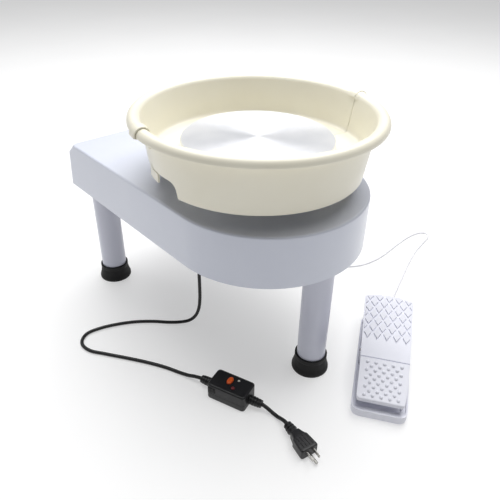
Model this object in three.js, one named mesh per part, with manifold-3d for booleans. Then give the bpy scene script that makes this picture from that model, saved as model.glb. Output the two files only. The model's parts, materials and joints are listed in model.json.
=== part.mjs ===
// A 25 cm electric pottery wheel with a split splash basin, foot pedal and mains lead.
// Millimetres, +Z up. Everything is laid out round the spindle, then shifted at the end so that the
// origin is on the floor under the middle of the machine and its pedal.

import * as THREE from 'three';
import { mergeVertices } from 'three/addons/utils/BufferGeometryUtils.js';
import Module from 'manifold-3d';

const wasm = await Module();
wasm.setup();

// ---- driving dimensions ----
const GAP = 0.3;
const WHEEL_RADIUS = 125;
const WHEEL_TOP = 393;
const WHEEL_UNDERSIDE = 377;

const HOUSING_BACK = -368;
const HOUSING_ROUND_X = 23;
const HOUSING_HALF_WIDTH = 171;
const HOUSING_BOTTOM = 227;
const HOUSING_TOP = 317;
const HOUSING_WALL = 3;
const HOUSING_CORNER = 12;
const HOUSING_EDGE = 4;
const TURRET_RADIUS = 100;
const TURRET_TOP = 369.2;
const TURRET_HOLE = 30;

const PLATE_BOTTOM = 230.5;
const PLATE_TOP = 233;

const LEG_PLACES = { front: [154, 0], rear_near: [-326, -122], rear_far: [-326, 122] };
const LEG_RADIUS = 25.3;
const LEG_WALL = 2.1;
const LEG_FLANGE_BOTTOM = 226;

const SHAFT_RADIUS = 8.5;
const BEARING_RADIUS = 20;
const BEARING_HEIGHT = 12;
const LOWER_BEARING_BOTTOM = 303.2;
const UPPER_BEARING_BOTTOM = 344.8;

const BELT_BOTTOM = 244;
const BELT_TOP = 256;
const BELT_THICKNESS = 2.6;
const DRIVEN_RADIUS = 70;
const MOTOR_PULLEY_RADIUS = 17.5;
const MOTOR_X = -210;
const MOTOR_SHAFT_RADIUS = 5;

const BASIN_TURN = THREE.MathUtils.degToRad(-15.3);
const SKIRT_RADIUS = 173;
const SKIRT_BOTTOM = 343;
const BASIN_FLOOR_UNDER = 369.5;
const BASIN_FLOOR_TOP = 372.5;
const BASIN_HOLE_RADIUS = 36;
const BASIN_HOLE_EDGE_TOP = 375.5;
const BASIN_WALL = 2.9;
const WALL_TOP_RADIUS = 185.5;
const WALL_TOP = 428;
const LIP_RADIUS = 194;
const LIP_HEIGHT = 429.3;
const LIP_SIZE = 10.6;
const LIP_WALL = 2.4;
const SEAM_GAP = 0.25;
const COLLAR_GAP = 0.8;
const COLLAR_WALL = 2.4;
const COLLAR_BOTTOM = 408;
const COLLAR_OWN = 15;
const COLLAR_REACH = 18;
const TONGUE_OUTER_RADIUS = 177.5;
const TONGUE_WALL = 3.5;
const TONGUE_BOTTOM = 353;
const ARCH_HALF_WIDTH = 62;
const ARCH_CORNER = 14;
const BASIN_REACH = 230;

const MAINS_EXIT = [-68, -79];
const MAINS_DIAMETER = 6.5;
const CABLE_EXIT_X = -60;
const CABLE_EXIT_Z = 250;
const CABLE_DIAMETER = 4;

const SWITCH_X = -300;
const SWITCH_Z = 272;

const BOX_PLACE = [117.75, -156.5];
const BOX_TURN = THREE.MathUtils.degToRad(20);
const BOX_LENGTH = 72;
const BOX_WIDTH = 42;
const BOX_HEIGHT = 32;
const BOX_SPLIT = 13;
const BOX_WALL = 2.4;

const PLUG_PLACE = [226, -131.5];
const PLUG_TURN = THREE.MathUtils.degToRad(-10);
const PLUG_AXIS_Z = 10.5;

const PEDAL_PLACE = [246.3, 92.2];
const PEDAL_TURN = THREE.MathUtils.degToRad(33.7);
const PEDAL_BASE = { width: 96, heel: -122, toe: 120, bottom: 3, floor: 6, rim: 17, wall: 3, corner: 18 };
const PIVOT_Y = 5;
const PIVOT_Z = 32;
const PIN_RADIUS = 2.9;
const PEDAL_CORD_Z = 11.5;
const GEAR_SECTOR_RADIUS = 16;
const GEAR_PINION_RADIUS = 6;

// ---- finishes ----
const finishes = {
  white_shell: [0xeceef5, 0.25, 0],
  white_tube: [0xdfe1ee, 0.28, 0],
  cream: [0xf4efdc, 0.35, 0],
  black_rubber: [0x161616, 0.75, 0],
  black_plastic: [0x1c1c1e, 0.5, 0],
  turned_aluminium: [0xdfe2e6, 0.32, 1],
  steel: [0xb9bcc2, 0.35, 1],
  dark_iron: [0x4b4e55, 0.55, 0.8],
  pedal_white: [0xe9eaf2, 0.4, 0],
  circuit_green: [0x1f6b45, 0.55, 0],
  orange: [0xf07a1e, 0.4, 0],
  dark_red: [0x7d1f22, 0.45, 0],
  clear_white: [0xf7f7f2, 0.2, 0],
  white_cable: [0xe6e6ee, 0.5, 0],
};

function finish(name) {
  const [color, roughness, metalness] = finishes[name];
  return new THREE.MeshStandardMaterial({ color, roughness, metalness });
}

// ---- solids ----
function signedVolume(position, triangles) {
  const a = new THREE.Vector3();
  const b = new THREE.Vector3();
  const c = new THREE.Vector3();
  let total = 0;
  for (let i = 0; i < triangles.length; i += 3) {
    a.fromBufferAttribute(position, triangles[i]);
    b.fromBufferAttribute(position, triangles[i + 1]);
    c.fromBufferAttribute(position, triangles[i + 2]);
    total += a.dot(b.cross(c)) / 6;
  }
  return total;
}

function solid(shape) {
  if (!shape.isBufferGeometry) return shape;
  const bare = shape.clone();
  bare.deleteAttribute('normal');
  bare.deleteAttribute('uv');
  const merged = mergeVertices(bare, 1e-4);
  const index = merged.index.array;
  const triangles = [];
  for (let i = 0; i < index.length; i += 3) {
    const [a, b, c] = [index[i], index[i + 1], index[i + 2]];
    if (a !== b && b !== c && c !== a) triangles.push(a, b, c);
  }
  if (signedVolume(merged.attributes.position, triangles) < 0) triangles.reverse();
  return new wasm.Manifold(new wasm.Mesh({
    numProp: 3,
    vertProperties: new Float32Array(merged.attributes.position.array),
    triVerts: new Uint32Array(triangles),
  }));
}

function join(first, ...others) {
  return others.reduce((body, other) => body.add(solid(other)), solid(first));
}

function cut(first, ...others) {
  return others.reduce((body, other) => body.subtract(solid(other)), solid(first));
}

function common(first, ...others) {
  return others.reduce((body, other) => body.intersect(solid(other)), solid(first));
}

function piece(group, name, shape, finishName) {
  const mesh = solid(shape).getMesh();
  const geometry = new THREE.BufferGeometry();
  geometry.setAttribute('position', new THREE.BufferAttribute(mesh.vertProperties, 3));
  geometry.setIndex(new THREE.BufferAttribute(mesh.triVerts, 1));
  geometry.computeVertexNormals();
  const part = new THREE.Mesh(geometry, finish(finishName));
  part.name = name;
  group.add(part);
  return part;
}

// A round bar standing along Z, along Y or along X.
function disc(radius, bottom, top, x = 0, y = 0, sides = 20) {
  const shape = new THREE.CylinderGeometry(radius, radius, top - bottom, sides);
  return shape.rotateX(Math.PI / 2).translate(x, y, (bottom + top) / 2);
}

function barAlongX(radius, from, to, y, z, sides = 16) {
  const shape = new THREE.CylinderGeometry(radius, radius, to - from, sides);
  return shape.rotateZ(Math.PI / 2).translate((from + to) / 2, y, z);
}

function barAlongY(radius, from, to, x, z, sides = 16) {
  const shape = new THREE.CylinderGeometry(radius, radius, to - from, sides);
  return shape.translate(x, (from + to) / 2, z);
}

function block(x0, x1, y0, y1, z0, z1) {
  const shape = new THREE.BoxGeometry(x1 - x0, y1 - y0, z1 - z0);
  return shape.translate((x0 + x1) / 2, (y0 + y1) / 2, (z0 + z1) / 2);
}

// A body of revolution about Z from [radius, height] pairs.
function turned(profile, sides = 24) {
  const points = profile.map(([radius, height]) => new THREE.Vector2(radius, height));
  return new THREE.LatheGeometry(points, sides).rotateX(Math.PI / 2);
}

// The same, lying along +X from the given start.
function turnedAlongX(profile, start, y, z, sides = 12) {
  return turned(profile, sides).rotateY(Math.PI / 2).translate(start, y, z);
}

function ring(outer, inner, bottom, top, sides = 24) {
  return turned([[inner, bottom], [outer, bottom], [outer, top], [inner, top], [inner, bottom]], sides);
}

function upright(shape, bottom, top, curveSegments = 3) {
  const options = { depth: top - bottom, bevelEnabled: false, curveSegments };
  return new THREE.ExtrudeGeometry(shape, options).translate(0, 0, bottom);
}

// A side outline drawn in X and Z, run along Y.
function runAlongY(points, y0, y1) {
  const shape = new THREE.Shape(points.map(([x, z]) => new THREE.Vector2(x, z)));
  const body = new THREE.ExtrudeGeometry(shape, { depth: y1 - y0, bevelEnabled: false });
  return body.rotateX(Math.PI / 2).translate(0, y1, 0);
}

// A side outline drawn in Y and Z, run along X.
function runAlongX(points, x0, x1) {
  const shape = new THREE.Shape(points.map(([y, z]) => new THREE.Vector2(y, z)));
  const body = new THREE.ExtrudeGeometry(shape, { depth: x1 - x0, bevelEnabled: false });
  return body.rotateX(Math.PI / 2).rotateZ(Math.PI / 2).translate(x0, 0, 0);
}

function roundedRectangle(x0, x1, y0, y1, corner) {
  const shape = new THREE.Shape();
  shape.moveTo(x0 + corner, y0);
  shape.lineTo(x1 - corner, y0);
  shape.absarc(x1 - corner, y0 + corner, corner, -Math.PI / 2, 0);
  shape.lineTo(x1, y1 - corner);
  shape.absarc(x1 - corner, y1 - corner, corner, 0, Math.PI / 2);
  shape.lineTo(x0 + corner, y1);
  shape.absarc(x0 + corner, y1 - corner, corner, Math.PI / 2, Math.PI);
  shape.lineTo(x0, y0 + corner);
  shape.absarc(x0 + corner, y0 + corner, corner, Math.PI, Math.PI * 1.5);
  return shape;
}

function oval(halfLength, halfWidth, bottom, top, x, y) {
  const shape = new THREE.Shape();
  shape.absellipse(x, y, halfLength, halfWidth, 0, Math.PI * 2);
  return upright(shape, bottom, top, 8);
}

function tube(points, diameter, steps, sides) {
  const route = new THREE.CatmullRomCurve3(points.map((p) => new THREE.Vector3(...p)), false, 'centripetal');
  const section = new THREE.Shape();
  section.absarc(0, 0, diameter / 2, 0, Math.PI * 2);
  const options = { steps, extrudePath: route, bevelEnabled: false, curveSegments: sides / 2 };
  return new THREE.ExtrudeGeometry(section, options);
}

// ---- housing, base plate and legs ----
function housingOutline(inset) {
  const half = HOUSING_HALF_WIDTH - inset;
  const back = HOUSING_BACK + inset;
  const corner = HOUSING_CORNER - inset;
  const shape = new THREE.Shape();
  shape.absarc(HOUSING_ROUND_X, 0, half, -Math.PI / 2, Math.PI / 2);
  shape.lineTo(back + corner, half);
  shape.absarc(back + corner, half - corner, corner, Math.PI / 2, Math.PI);
  shape.lineTo(back, corner - half);
  shape.absarc(back + corner, corner - half, corner, Math.PI, Math.PI * 1.5);
  return shape;
}

// The end wall leans in a little, then a broad bevel takes its top edge off.
function endWallOutline(inset, bottom) {
  const far = HOUSING_ROUND_X + HOUSING_HALF_WIDTH + 10;
  const top = HOUSING_TOP - inset;
  return [[HOUSING_BACK + inset, bottom], [-359 + inset, 297], [-335 + inset, top], [far, top], [far, bottom]];
}

function housingBody(inset, bottom, edge) {
  const reach = HOUSING_HALF_WIDTH + 10;
  const height = HOUSING_TOP - inset - bottom;
  const rounding = { bevelEnabled: edge > 0, bevelThickness: edge, bevelSize: edge, bevelOffset: -edge, bevelSegments: 2 };
  const options = { depth: height + edge, curveSegments: 9, ...rounding };
  const prism = new THREE.ExtrudeGeometry(housingOutline(inset), options);
  prism.translate(0, 0, bottom - 2 * edge);
  return common(prism, runAlongY(endWallOutline(inset, bottom), -reach, reach));
}

const BOSS_PLACES = [[-200, -157], [-200, 157], [60, -154], [60, 154]];
const machine = new THREE.Group();

function housingShell() {
  let shell = housingBody(0, HOUSING_BOTTOM, HOUSING_EDGE);
  shell = join(shell, turned([
    [0, HOUSING_TOP - 2],
    [TURRET_RADIUS, HOUSING_TOP - 2],
    [TURRET_RADIUS, TURRET_TOP - 3],
    [TURRET_RADIUS - 3, TURRET_TOP],
    [0, TURRET_TOP],
  ], 40));
  shell = cut(shell, housingBody(HOUSING_WALL, HOUSING_BOTTOM - 5, 0));
  shell = cut(
    shell,
    disc(TURRET_RADIUS - HOUSING_WALL, HOUSING_TOP - 10, TURRET_TOP - HOUSING_WALL, 0, 0, 40),
    disc(TURRET_HOLE, HOUSING_TOP, TURRET_TOP + 5, 0, 0, 28),
  );
  for (const [x, y] of BOSS_PLACES) {
    const side = Math.sign(y);
    const wallY = side * (HOUSING_HALF_WIDTH - 1);
    const rib = block(x - 2, x + 2, Math.min(y, wallY), Math.max(y, wallY), PLATE_TOP + 8, HOUSING_TOP - 1);
    const post = disc(5, PLATE_TOP + GAP, HOUSING_TOP - 1, x, y, 20);
    const ribInside = common(rib, housingBody(1, HOUSING_BOTTOM - 5, 0));
    shell = cut(join(shell, post, ribInside), disc(1.9, PLATE_TOP, PLATE_TOP + 14, x, y, 16));
  }
  shell = cut(
    shell,
    barAlongY(5.3, HOUSING_HALF_WIDTH - 8, HOUSING_HALF_WIDTH + 5, CABLE_EXIT_X, CABLE_EXIT_Z),
    block(SWITCH_X - 9.3, SWITCH_X + 9.3, HOUSING_HALF_WIDTH - 8, HOUSING_HALF_WIDTH + 5,
      SWITCH_Z - 14.3, SWITCH_Z + 14.3),
  );
  return shell;
}

const BOARD = { x0: -345, x1: -275, y0: -45, y1: 45, bottom: 243, top: 244.6 };

function basePlate() {
  const clearOfEndWall = block(HOUSING_BACK + 6.5, 300, -300, 300, 200, 300);
  let plate = common(upright(housingOutline(HOUSING_WALL + 0.8), PLATE_BOTTOM, PLATE_TOP, 9), clearOfEndWall);
  for (const [x, y] of BOSS_PLACES) {
    plate = cut(plate, disc(2.3, PLATE_BOTTOM - 1, PLATE_TOP + 1, x, y, 16));
  }
  plate = cut(plate, disc(7.2, PLATE_BOTTOM - 1, PLATE_TOP + 1, ...MAINS_EXIT));
  for (const x of [BOARD.x0 + 6, BOARD.x1 - 6]) {
    for (const y of [BOARD.y0 + 6, BOARD.y1 - 6]) {
      plate = join(plate, disc(3, PLATE_TOP - 1, BOARD.bottom - GAP, x, y, 12));
    }
  }
  return plate;
}

function legSet(name, x, y) {
  const socket = cut(
    join(
      disc(33, LEG_FLANGE_BOTTOM, PLATE_BOTTOM - GAP, x, y, 20),
      disc(LEG_RADIUS - LEG_WALL - 0.4, 196, LEG_FLANGE_BOTTOM + 1, x, y, 20),
    ),
    disc(19, 190, 222, x, y, 16),
  );
  piece(machine, `leg_socket_${name}`, socket, 'dark_iron');
  const pipe = ring(LEG_RADIUS, LEG_RADIUS - LEG_WALL, 6.5, LEG_FLANGE_BOTTOM - 0.4).translate(x, y, 0);
  piece(machine, `leg_${name}`, pipe, 'white_tube');
  const foot = turned([
    [0, 0], [32.4, 0], [33, 1.2], [33, 5], [30.4, 13], [28.8, 21], [28.2, 25],
    [28.8, 26.5], [28.8, 33.4], [28.2, 34], [25.6, 34], [25.6, 6.2], [0, 6.2],
  ], 22).translate(x, y, 0);
  piece(machine, `foot_${name}`, foot, 'black_rubber');
}

piece(machine, 'housing_shell', housingShell(), 'white_shell');
piece(machine, 'base_plate', basePlate(), 'dark_iron');
for (const [name, [x, y]] of Object.entries(LEG_PLACES)) legSet(name, x, y);

function screw(name, radius, headRadius, headBottom, headTop, tip, x, y) {
  const body = join(disc(headRadius, headBottom, headTop, x, y, 16), disc(radius, headTop - 0.5, tip, x, y, 12));
  piece(machine, name, body, 'steel');
}

BOSS_PLACES.forEach(([x, y], i) => {
  screw(`plate_screw_${i + 1}`, 1.6, 4, PLATE_BOTTOM - 2.7, PLATE_BOTTOM - GAP, PLATE_TOP + 11, x, y);
});

// ---- spindle, bearings and wheel head ----
const boreRadius = BEARING_RADIUS + GAP;
const lowerRecess = LOWER_BEARING_BOTTOM + BEARING_HEIGHT + 0.2;
const upperRecess = UPPER_BEARING_BOTTOM - 0.2;
const flangeTop = TURRET_TOP - HOUSING_WALL - GAP;
piece(machine, 'bearing_housing', turned([
  [27, 300], [27, flangeTop - 8], [58, flangeTop - 8], [58, flangeTop], [12.5, flangeTop],
  [12.5, 358], [boreRadius, 358], [boreRadius, upperRecess], [15, upperRecess], [15, lowerRecess],
  [boreRadius, lowerRecess], [boreRadius, 300], [27, 300],
]), 'dark_iron');
const bearing = (bottom) => ring(BEARING_RADIUS, SHAFT_RADIUS + GAP, bottom, bottom + BEARING_HEIGHT);
piece(machine, 'lower_bearing', bearing(LOWER_BEARING_BOTTOM), 'steel');
piece(machine, 'upper_bearing', bearing(UPPER_BEARING_BOTTOM), 'steel');

const spacerTop = UPPER_BEARING_BOTTOM - GAP;
const spacerBottom = LOWER_BEARING_BOTTOM + BEARING_HEIGHT + GAP;
piece(machine, 'spindle_shaft', turned([
  [0, 239], [SHAFT_RADIUS, 239], [SHAFT_RADIUS, spacerBottom], [11, spacerBottom], [11, spacerTop],
  [SHAFT_RADIUS, spacerTop], [SHAFT_RADIUS, 375], [SHAFT_RADIUS - 1, 376], [0, 376],
]), 'steel');
const hubBore = SHAFT_RADIUS + GAP;
piece(machine, 'wheel_hub', turned([
  [hubBore, 367], [20, 367], [20, 370.5], [30, 370.5], [30, WHEEL_UNDERSIDE - GAP],
  [hubBore, WHEEL_UNDERSIDE - GAP], [hubBore, 367],
]), 'dark_iron');
piece(machine, 'wheel_head', turned([
  [0, WHEEL_UNDERSIDE], [34, WHEEL_UNDERSIDE], [36, 386], [116, 386], [119, WHEEL_UNDERSIDE],
  [WHEEL_RADIUS - 1, WHEEL_UNDERSIDE], [WHEEL_RADIUS, WHEEL_UNDERSIDE + 1], [WHEEL_RADIUS, WHEEL_TOP - 1.2],
  [WHEEL_RADIUS - 1.2, WHEEL_TOP], [0, WHEEL_TOP],
], 48), 'turned_aluminium');

// ---- belt drive and motor ----
piece(machine, 'driven_pulley', turned([
  [hubBore, 243], [17, 243], [17, 248], [62, 248], [62, 243], [DRIVEN_RADIUS, 243], [DRIVEN_RADIUS, 257],
  [62, 257], [62, 252], [17, 252], [17, 263], [hubBore, 263], [hubBore, 243],
], 32), 'dark_iron');

// Two arcs joined by their outer tangents; the shape that follows closes them.
function beltLoop(path, growth) {
  const large = DRIVEN_RADIUS + growth;
  const small = MOTOR_PULLEY_RADIUS + growth;
  const touch = Math.acos((large - small) / MOTOR_X);
  path.absarc(0, 0, large, -touch, touch);
  path.absarc(MOTOR_X, 0, small, touch, Math.PI * 2 - touch);
  return path;
}
const beltShape = beltLoop(new THREE.Shape(), GAP + BELT_THICKNESS);
beltShape.holes.push(beltLoop(new THREE.Path(), GAP));
piece(machine, 'drive_belt', upright(beltShape, BELT_BOTTOM, BELT_TOP, 10), 'black_rubber');

const motorBore = MOTOR_SHAFT_RADIUS + GAP;
piece(machine, 'motor_pulley', turned([
  [motorBore, 241.5], [20, 241.5], [20, 243.4], [MOTOR_PULLEY_RADIUS, 243.4], [MOTOR_PULLEY_RADIUS, 256.6],
  [20, 256.6], [20, 258.4], [motorBore, 258.4], [motorBore, 241.5],
]).translate(MOTOR_X, 0, 0), 'dark_iron');
piece(machine, 'motor_shaft', disc(MOTOR_SHAFT_RADIUS, 240.5, 299, MOTOR_X, 0, 24), 'steel');
piece(machine, 'motor_body', turned([
  [motorBore, 262.3], [40, 262.3], [45, 266], [45, 303], [40, 307], [0, 307], [0, 300], [motorBore, 300],
  [motorBore, 262.3],
]).translate(MOTOR_X, 0, 0), 'black_plastic');
const bracketSides = [-1, 1].map((side) => block(
  MOTOR_X - 50, MOTOR_X + 50, Math.min(side * 55, side * 58), Math.max(side * 55, side * 58), PLATE_TOP + GAP, 261));
piece(machine, 'motor_bracket', cut(
  join(block(MOTOR_X - 50, MOTOR_X + 50, -58, 58, 259, 262), ...bracketSides),
  disc(12, 255, 265, MOTOR_X, 0),
), 'steel');

// ---- controller ----
piece(machine, 'control_board', block(BOARD.x0, BOARD.x1, BOARD.y0, BOARD.y1, BOARD.bottom, BOARD.top), 'circuit_green');
const heatSinkFins = [];
for (let i = 0; i < 5; i += 1) heatSinkFins.push(block(-338 + i * 7, -335.5 + i * 7, -32, 8, 247, 268));
piece(machine, 'heat_sink', join(block(-338, -307.5, -32, 8, BOARD.top + GAP, 248), ...heatSinkFins), 'turned_aluminium');

// ---- direction switch in the far side wall ----
const switchOuter = HOUSING_HALF_WIDTH + GAP;
piece(machine, 'switch_case', cut(
  join(
    block(SWITCH_X - 11, SWITCH_X + 11, switchOuter, switchOuter + 2, SWITCH_Z - 16, SWITCH_Z + 16),
    block(SWITCH_X - 9, SWITCH_X + 9, 150, switchOuter + 1, SWITCH_Z - 14, SWITCH_Z + 14),
  ),
  block(SWITCH_X - 7.5, SWITCH_X + 7.5, 152, switchOuter + 5, SWITCH_Z - 12.3, SWITCH_Z + 12.3),
), 'black_plastic');
const rockerPivotY = switchOuter - 4;
const rockerOutline = [[-9, 8], [0, 5.6], [9, 8], [9, 2], [5, -6], [-5, -6], [-9, 2]];
piece(machine, 'switch_rocker', runAlongX(
  rockerOutline.map(([z, y]) => [rockerPivotY + y, SWITCH_Z + z]), SWITCH_X - 7.1, SWITCH_X + 7.1), 'black_plastic');

// ---- cord glands ----
piece(machine, 'mains_gland', turned([
  [0, 196], [4.2, 196], [6.6, 227.2], [11, 227.2], [11, PLATE_BOTTOM - GAP], [6.9, PLATE_BOTTOM - GAP],
  [6.9, 237], [0, 237],
], 16).translate(...MAINS_EXIT, 0), 'black_plastic');
const glandProfile = [[0, 0], [4.9, 0], [4.9, 9], [8, 9], [8, 11.5], [4.4, 11.5], [2.9, 29], [0, 29]];
const cableGland = turned(glandProfile, 16).rotateX(-Math.PI / 2);
piece(machine, 'pedal_cable_gland', cableGland.translate(
  CABLE_EXIT_X, HOUSING_HALF_WIDTH + GAP - 9, CABLE_EXIT_Z), 'white_shell');

// ---- split splash basin, drawn with its seam along Y and then turned ----
const basin = new THREE.Group();
basin.rotation.z = BASIN_TURN;
machine.add(basin);

function wallOuter(height) {
  const lean = (WALL_TOP_RADIUS - SKIRT_RADIUS) / (WALL_TOP - SKIRT_BOTTOM);
  return SKIRT_RADIUS + lean * (height - SKIRT_BOTTOM);
}

function lipArc(radius, from, to, steps) {
  const points = [];
  for (let i = 0; i <= steps; i += 1) {
    const turn = THREE.MathUtils.degToRad(from + ((to - from) * i) / steps);
    points.push([LIP_RADIUS + radius * Math.cos(turn), LIP_HEIGHT + radius * Math.sin(turn)]);
  }
  return points;
}

const basinProfile = [
  [BASIN_HOLE_RADIUS, BASIN_FLOOR_UNDER],
  [wallOuter(BASIN_FLOOR_UNDER) - BASIN_WALL, BASIN_FLOOR_UNDER],
  [SKIRT_RADIUS - BASIN_WALL, SKIRT_BOTTOM],
  [SKIRT_RADIUS, SKIRT_BOTTOM],
  ...lipArc(LIP_SIZE - LIP_WALL, 180, -5, 5),
  ...lipArc(LIP_SIZE, -5, 180, 7),
  [wallOuter(381) - BASIN_WALL, 381],
  [wallOuter(375) - BASIN_WALL - 2, 375],
  [166, BASIN_FLOOR_TOP],
  [40, BASIN_FLOOR_TOP],
  [BASIN_HOLE_RADIUS + 2.5, BASIN_FLOOR_TOP + 1.5],
  [BASIN_HOLE_RADIUS + 2.5, BASIN_HOLE_EDGE_TOP],
  [BASIN_HOLE_RADIUS, BASIN_HOLE_EDGE_TOP],
  [BASIN_HOLE_RADIUS, BASIN_FLOOR_UNDER],
];

// The collar of a socket follows the outside of the wall and goes over the lip.
function collarProfile(inner) {
  const outer = COLLAR_GAP + COLLAR_WALL;
  return [
    [wallOuter(COLLAR_BOTTOM) + inner, COLLAR_BOTTOM],
    [wallOuter(COLLAR_BOTTOM) + outer, COLLAR_BOTTOM],
    [wallOuter(420) + outer, 420],
    ...lipArc(LIP_SIZE + outer, -8, 160, 7),
    ...lipArc(LIP_SIZE + inner, 160, -8, 7),
    [wallOuter(424) + inner, 424],
    [wallOuter(COLLAR_BOTTOM) + inner, COLLAR_BOTTOM],
  ];
}

// A block across one end of the seam, between two distances from the seam on the side of one half.
function acrossSeam(side, from, to) {
  const x = [side * from, side * to];
  const y = [side * 100, side * BASIN_REACH];
  return block(Math.min(...x), Math.max(...x), Math.min(...y), Math.max(...y), 300, 500);
}

// Each half has a tongue at one end of the seam, hanging from its floor and passing under the other half.
function basinTongue(side) {
  const inner = TONGUE_OUTER_RADIUS - TONGUE_WALL;
  const own = ring(TONGUE_OUTER_RADIUS, inner, TONGUE_BOTTOM, BASIN_FLOOR_UNDER + 1);
  const passing = ring(TONGUE_OUTER_RADIUS, inner, TONGUE_BOTTOM, BASIN_FLOOR_UNDER - COLLAR_GAP);
  return join(
    common(own, acrossSeam(side, SEAM_GAP, COLLAR_OWN)),
    common(passing, acrossSeam(side, -COLLAR_REACH, 1)),
  );
}

function basinHalf(side) {
  const x = side > 0 ? [SEAM_GAP, BASIN_REACH] : [-BASIN_REACH, -SEAM_GAP];
  const ownSide = block(...x, -BASIN_REACH, BASIN_REACH, 300, 500);
  const archHeight = BASIN_FLOOR_UNDER - SKIRT_BOTTOM;
  const arch = roundedRectangle(-ARCH_HALF_WIDTH, ARCH_HALF_WIDTH, -archHeight, archHeight, ARCH_CORNER);
  const archway = new THREE.ExtrudeGeometry(arch, { depth: 2 * BASIN_REACH, bevelEnabled: false, curveSegments: 4 });
  archway.rotateX(Math.PI / 2).translate(0, BASIN_REACH, SKIRT_BOTTOM);
  return join(cut(common(turned(basinProfile, 48), ownSide), archway), basinTongue(side));
}

// Each half has one socket, set on its own wall and reaching past the seam over the other half's lip.
function basinSocket(side) {
  return join(
    common(turned(collarProfile(GAP), 48), acrossSeam(side, 0, COLLAR_OWN)),
    common(turned(collarProfile(COLLAR_GAP), 48), acrossSeam(side, -COLLAR_REACH, 0.5)),
  );
}

piece(basin, 'basin_front', basinHalf(1), 'cream');
piece(basin, 'basin_rear', basinHalf(-1), 'cream');
piece(basin, 'basin_front_socket', basinSocket(1), 'cream');
piece(basin, 'basin_rear_socket', basinSocket(-1), 'cream');

// ---- foot pedal, heel towards -Y and toe towards +Y of its own frame ----
const pedal = new THREE.Group();
pedal.position.set(...PEDAL_PLACE, 0);
pedal.rotation.z = PEDAL_TURN;
machine.add(pedal);

function pedalTray() {
  const { width, heel, toe, bottom, floor, rim, wall, corner } = PEDAL_BASE;
  const outer = upright(roundedRectangle(-width / 2, width / 2, heel, toe, corner), bottom, rim);
  const inner = roundedRectangle(wall - width / 2, width / 2 - wall, heel + wall, toe - wall, corner - wall);
  let tray = cut(outer, upright(inner, floor, rim + 5));
  for (const x of [-42, 38]) {
    const cheek = join(
      block(x, x + 4, PIVOT_Y - 16, PIVOT_Y + 16, bottom + 1, 20),
      runAlongX([[PIVOT_Y - 16, 19], [PIVOT_Y + 16, 19], [PIVOT_Y + 7, PIVOT_Z + 4], [PIVOT_Y - 7, PIVOT_Z + 4]], x, x + 4),
      barAlongX(7, x, x + 4, PIVOT_Y, PIVOT_Z),
    );
    tray = join(tray, cheek);
  }
  return cut(
    tray,
    barAlongX(PIN_RADIUS + GAP, -60, 60, PIVOT_Y, PIVOT_Z),
    barAlongY(3.3, toe - 8, toe + 5, 0, PEDAL_CORD_Z),
  );
}

const TREAD = { heelY: -112, heelZ: 34, creaseY: -40, creaseZ: 58, toeY: 143, toeZ: 52, thickness: 8, half: 43 };

function treadPlate() {
  const { heelY, heelZ, creaseY, creaseZ, toeY, toeZ, thickness, half } = TREAD;
  const outline = [
    [heelY, heelZ - thickness], [creaseY, creaseZ - thickness], [toeY, toeZ - thickness],
    [toeY, toeZ], [creaseY, creaseZ], [heelY, heelZ],
  ];
  const corners = upright(roundedRectangle(-half, half, heelY, toeY, 14), 0, 100);
  let plate = common(runAlongX(outline, -half, half), corners);
  for (const [x0, x1, radius] of [[-36, -32, 8], [32, 36, 8], [12, 17, GEAR_SECTOR_RADIUS]]) {
    const web = block(x0, x1, PIVOT_Y - 7, PIVOT_Y + 7, PIVOT_Z, creaseZ - thickness + 1);
    plate = join(plate, web, barAlongX(radius, x0, x1, PIVOT_Y, PIVOT_Z));
  }
  return cut(plate, barAlongX(PIN_RADIUS + GAP, -60, 60, PIVOT_Y, PIVOT_Z));
}

piece(pedal, 'pedal_base', pedalTray(), 'pedal_white');
piece(pedal, 'pedal_tread', treadPlate(), 'pedal_white');
piece(pedal, 'pedal_pin', barAlongX(PIN_RADIUS, -43.5, 43.5, PIVOT_Y, PIVOT_Z), 'steel');
const padOutline = roundedRectangle(-36, 36, PEDAL_BASE.heel + 12, PEDAL_BASE.toe - 12, 10);
piece(pedal, 'pedal_pad', upright(padOutline, 0, PEDAL_BASE.bottom - GAP), 'black_rubber');

class SpringCoil extends THREE.Curve {
  getPoint(t, target = new THREE.Vector3()) {
    const turns = 5;
    const turn = t * turns * Math.PI * 2 - Math.PI / 2;
    return target.set(-24 + 26 * t, PIVOT_Y + 5.2 * Math.cos(turn), PIVOT_Z + 5.2 * Math.sin(turn));
  }
}
const wire = new THREE.Shape();
wire.absarc(0, 0, 0.9, 0, Math.PI * 2);
const springOptions = { steps: 48, extrudePath: new SpringCoil(), bevelEnabled: false, curveSegments: 2 };
piece(pedal, 'pedal_spring', new THREE.ExtrudeGeometry(wire, springOptions), 'steel');

const meshDistance = GEAR_SECTOR_RADIUS + GEAR_PINION_RADIUS + 0.4;
const meshTurn = THREE.MathUtils.degToRad(-25);
const pinionY = PIVOT_Y + meshDistance * Math.cos(meshTurn);
const pinionZ = PIVOT_Z + meshDistance * Math.sin(meshTurn);
piece(pedal, 'speed_pinion', join(
  barAlongX(GEAR_PINION_RADIUS, 12, 17, pinionY, pinionZ, 20),
  barAlongX(2.8, 16, 27, pinionY, pinionZ, 16),
), 'clear_white');
piece(pedal, 'speed_potentiometer', cut(
  join(
    barAlongX(8, 20, 30, pinionY, pinionZ, 24),
    block(21, 29, pinionY - 5, pinionY + 5, PEDAL_BASE.floor + GAP, pinionZ),
  ),
  barAlongX(3.2, 19, 27.5, pinionY, pinionZ, 16),
), 'steel');
const pedalRelief = turned([[0, 0], [5, 0], [5, 2.5], [2.9, 2.5], [2.9, 6], [5, 6], [4.4, 8.5], [2.9, 23], [0, 23]], 20);
piece(pedal, 'pedal_relief', pedalRelief.rotateX(-Math.PI / 2).translate(0, PEDAL_BASE.toe - 5.8, PEDAL_CORD_Z), 'pedal_white');

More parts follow.
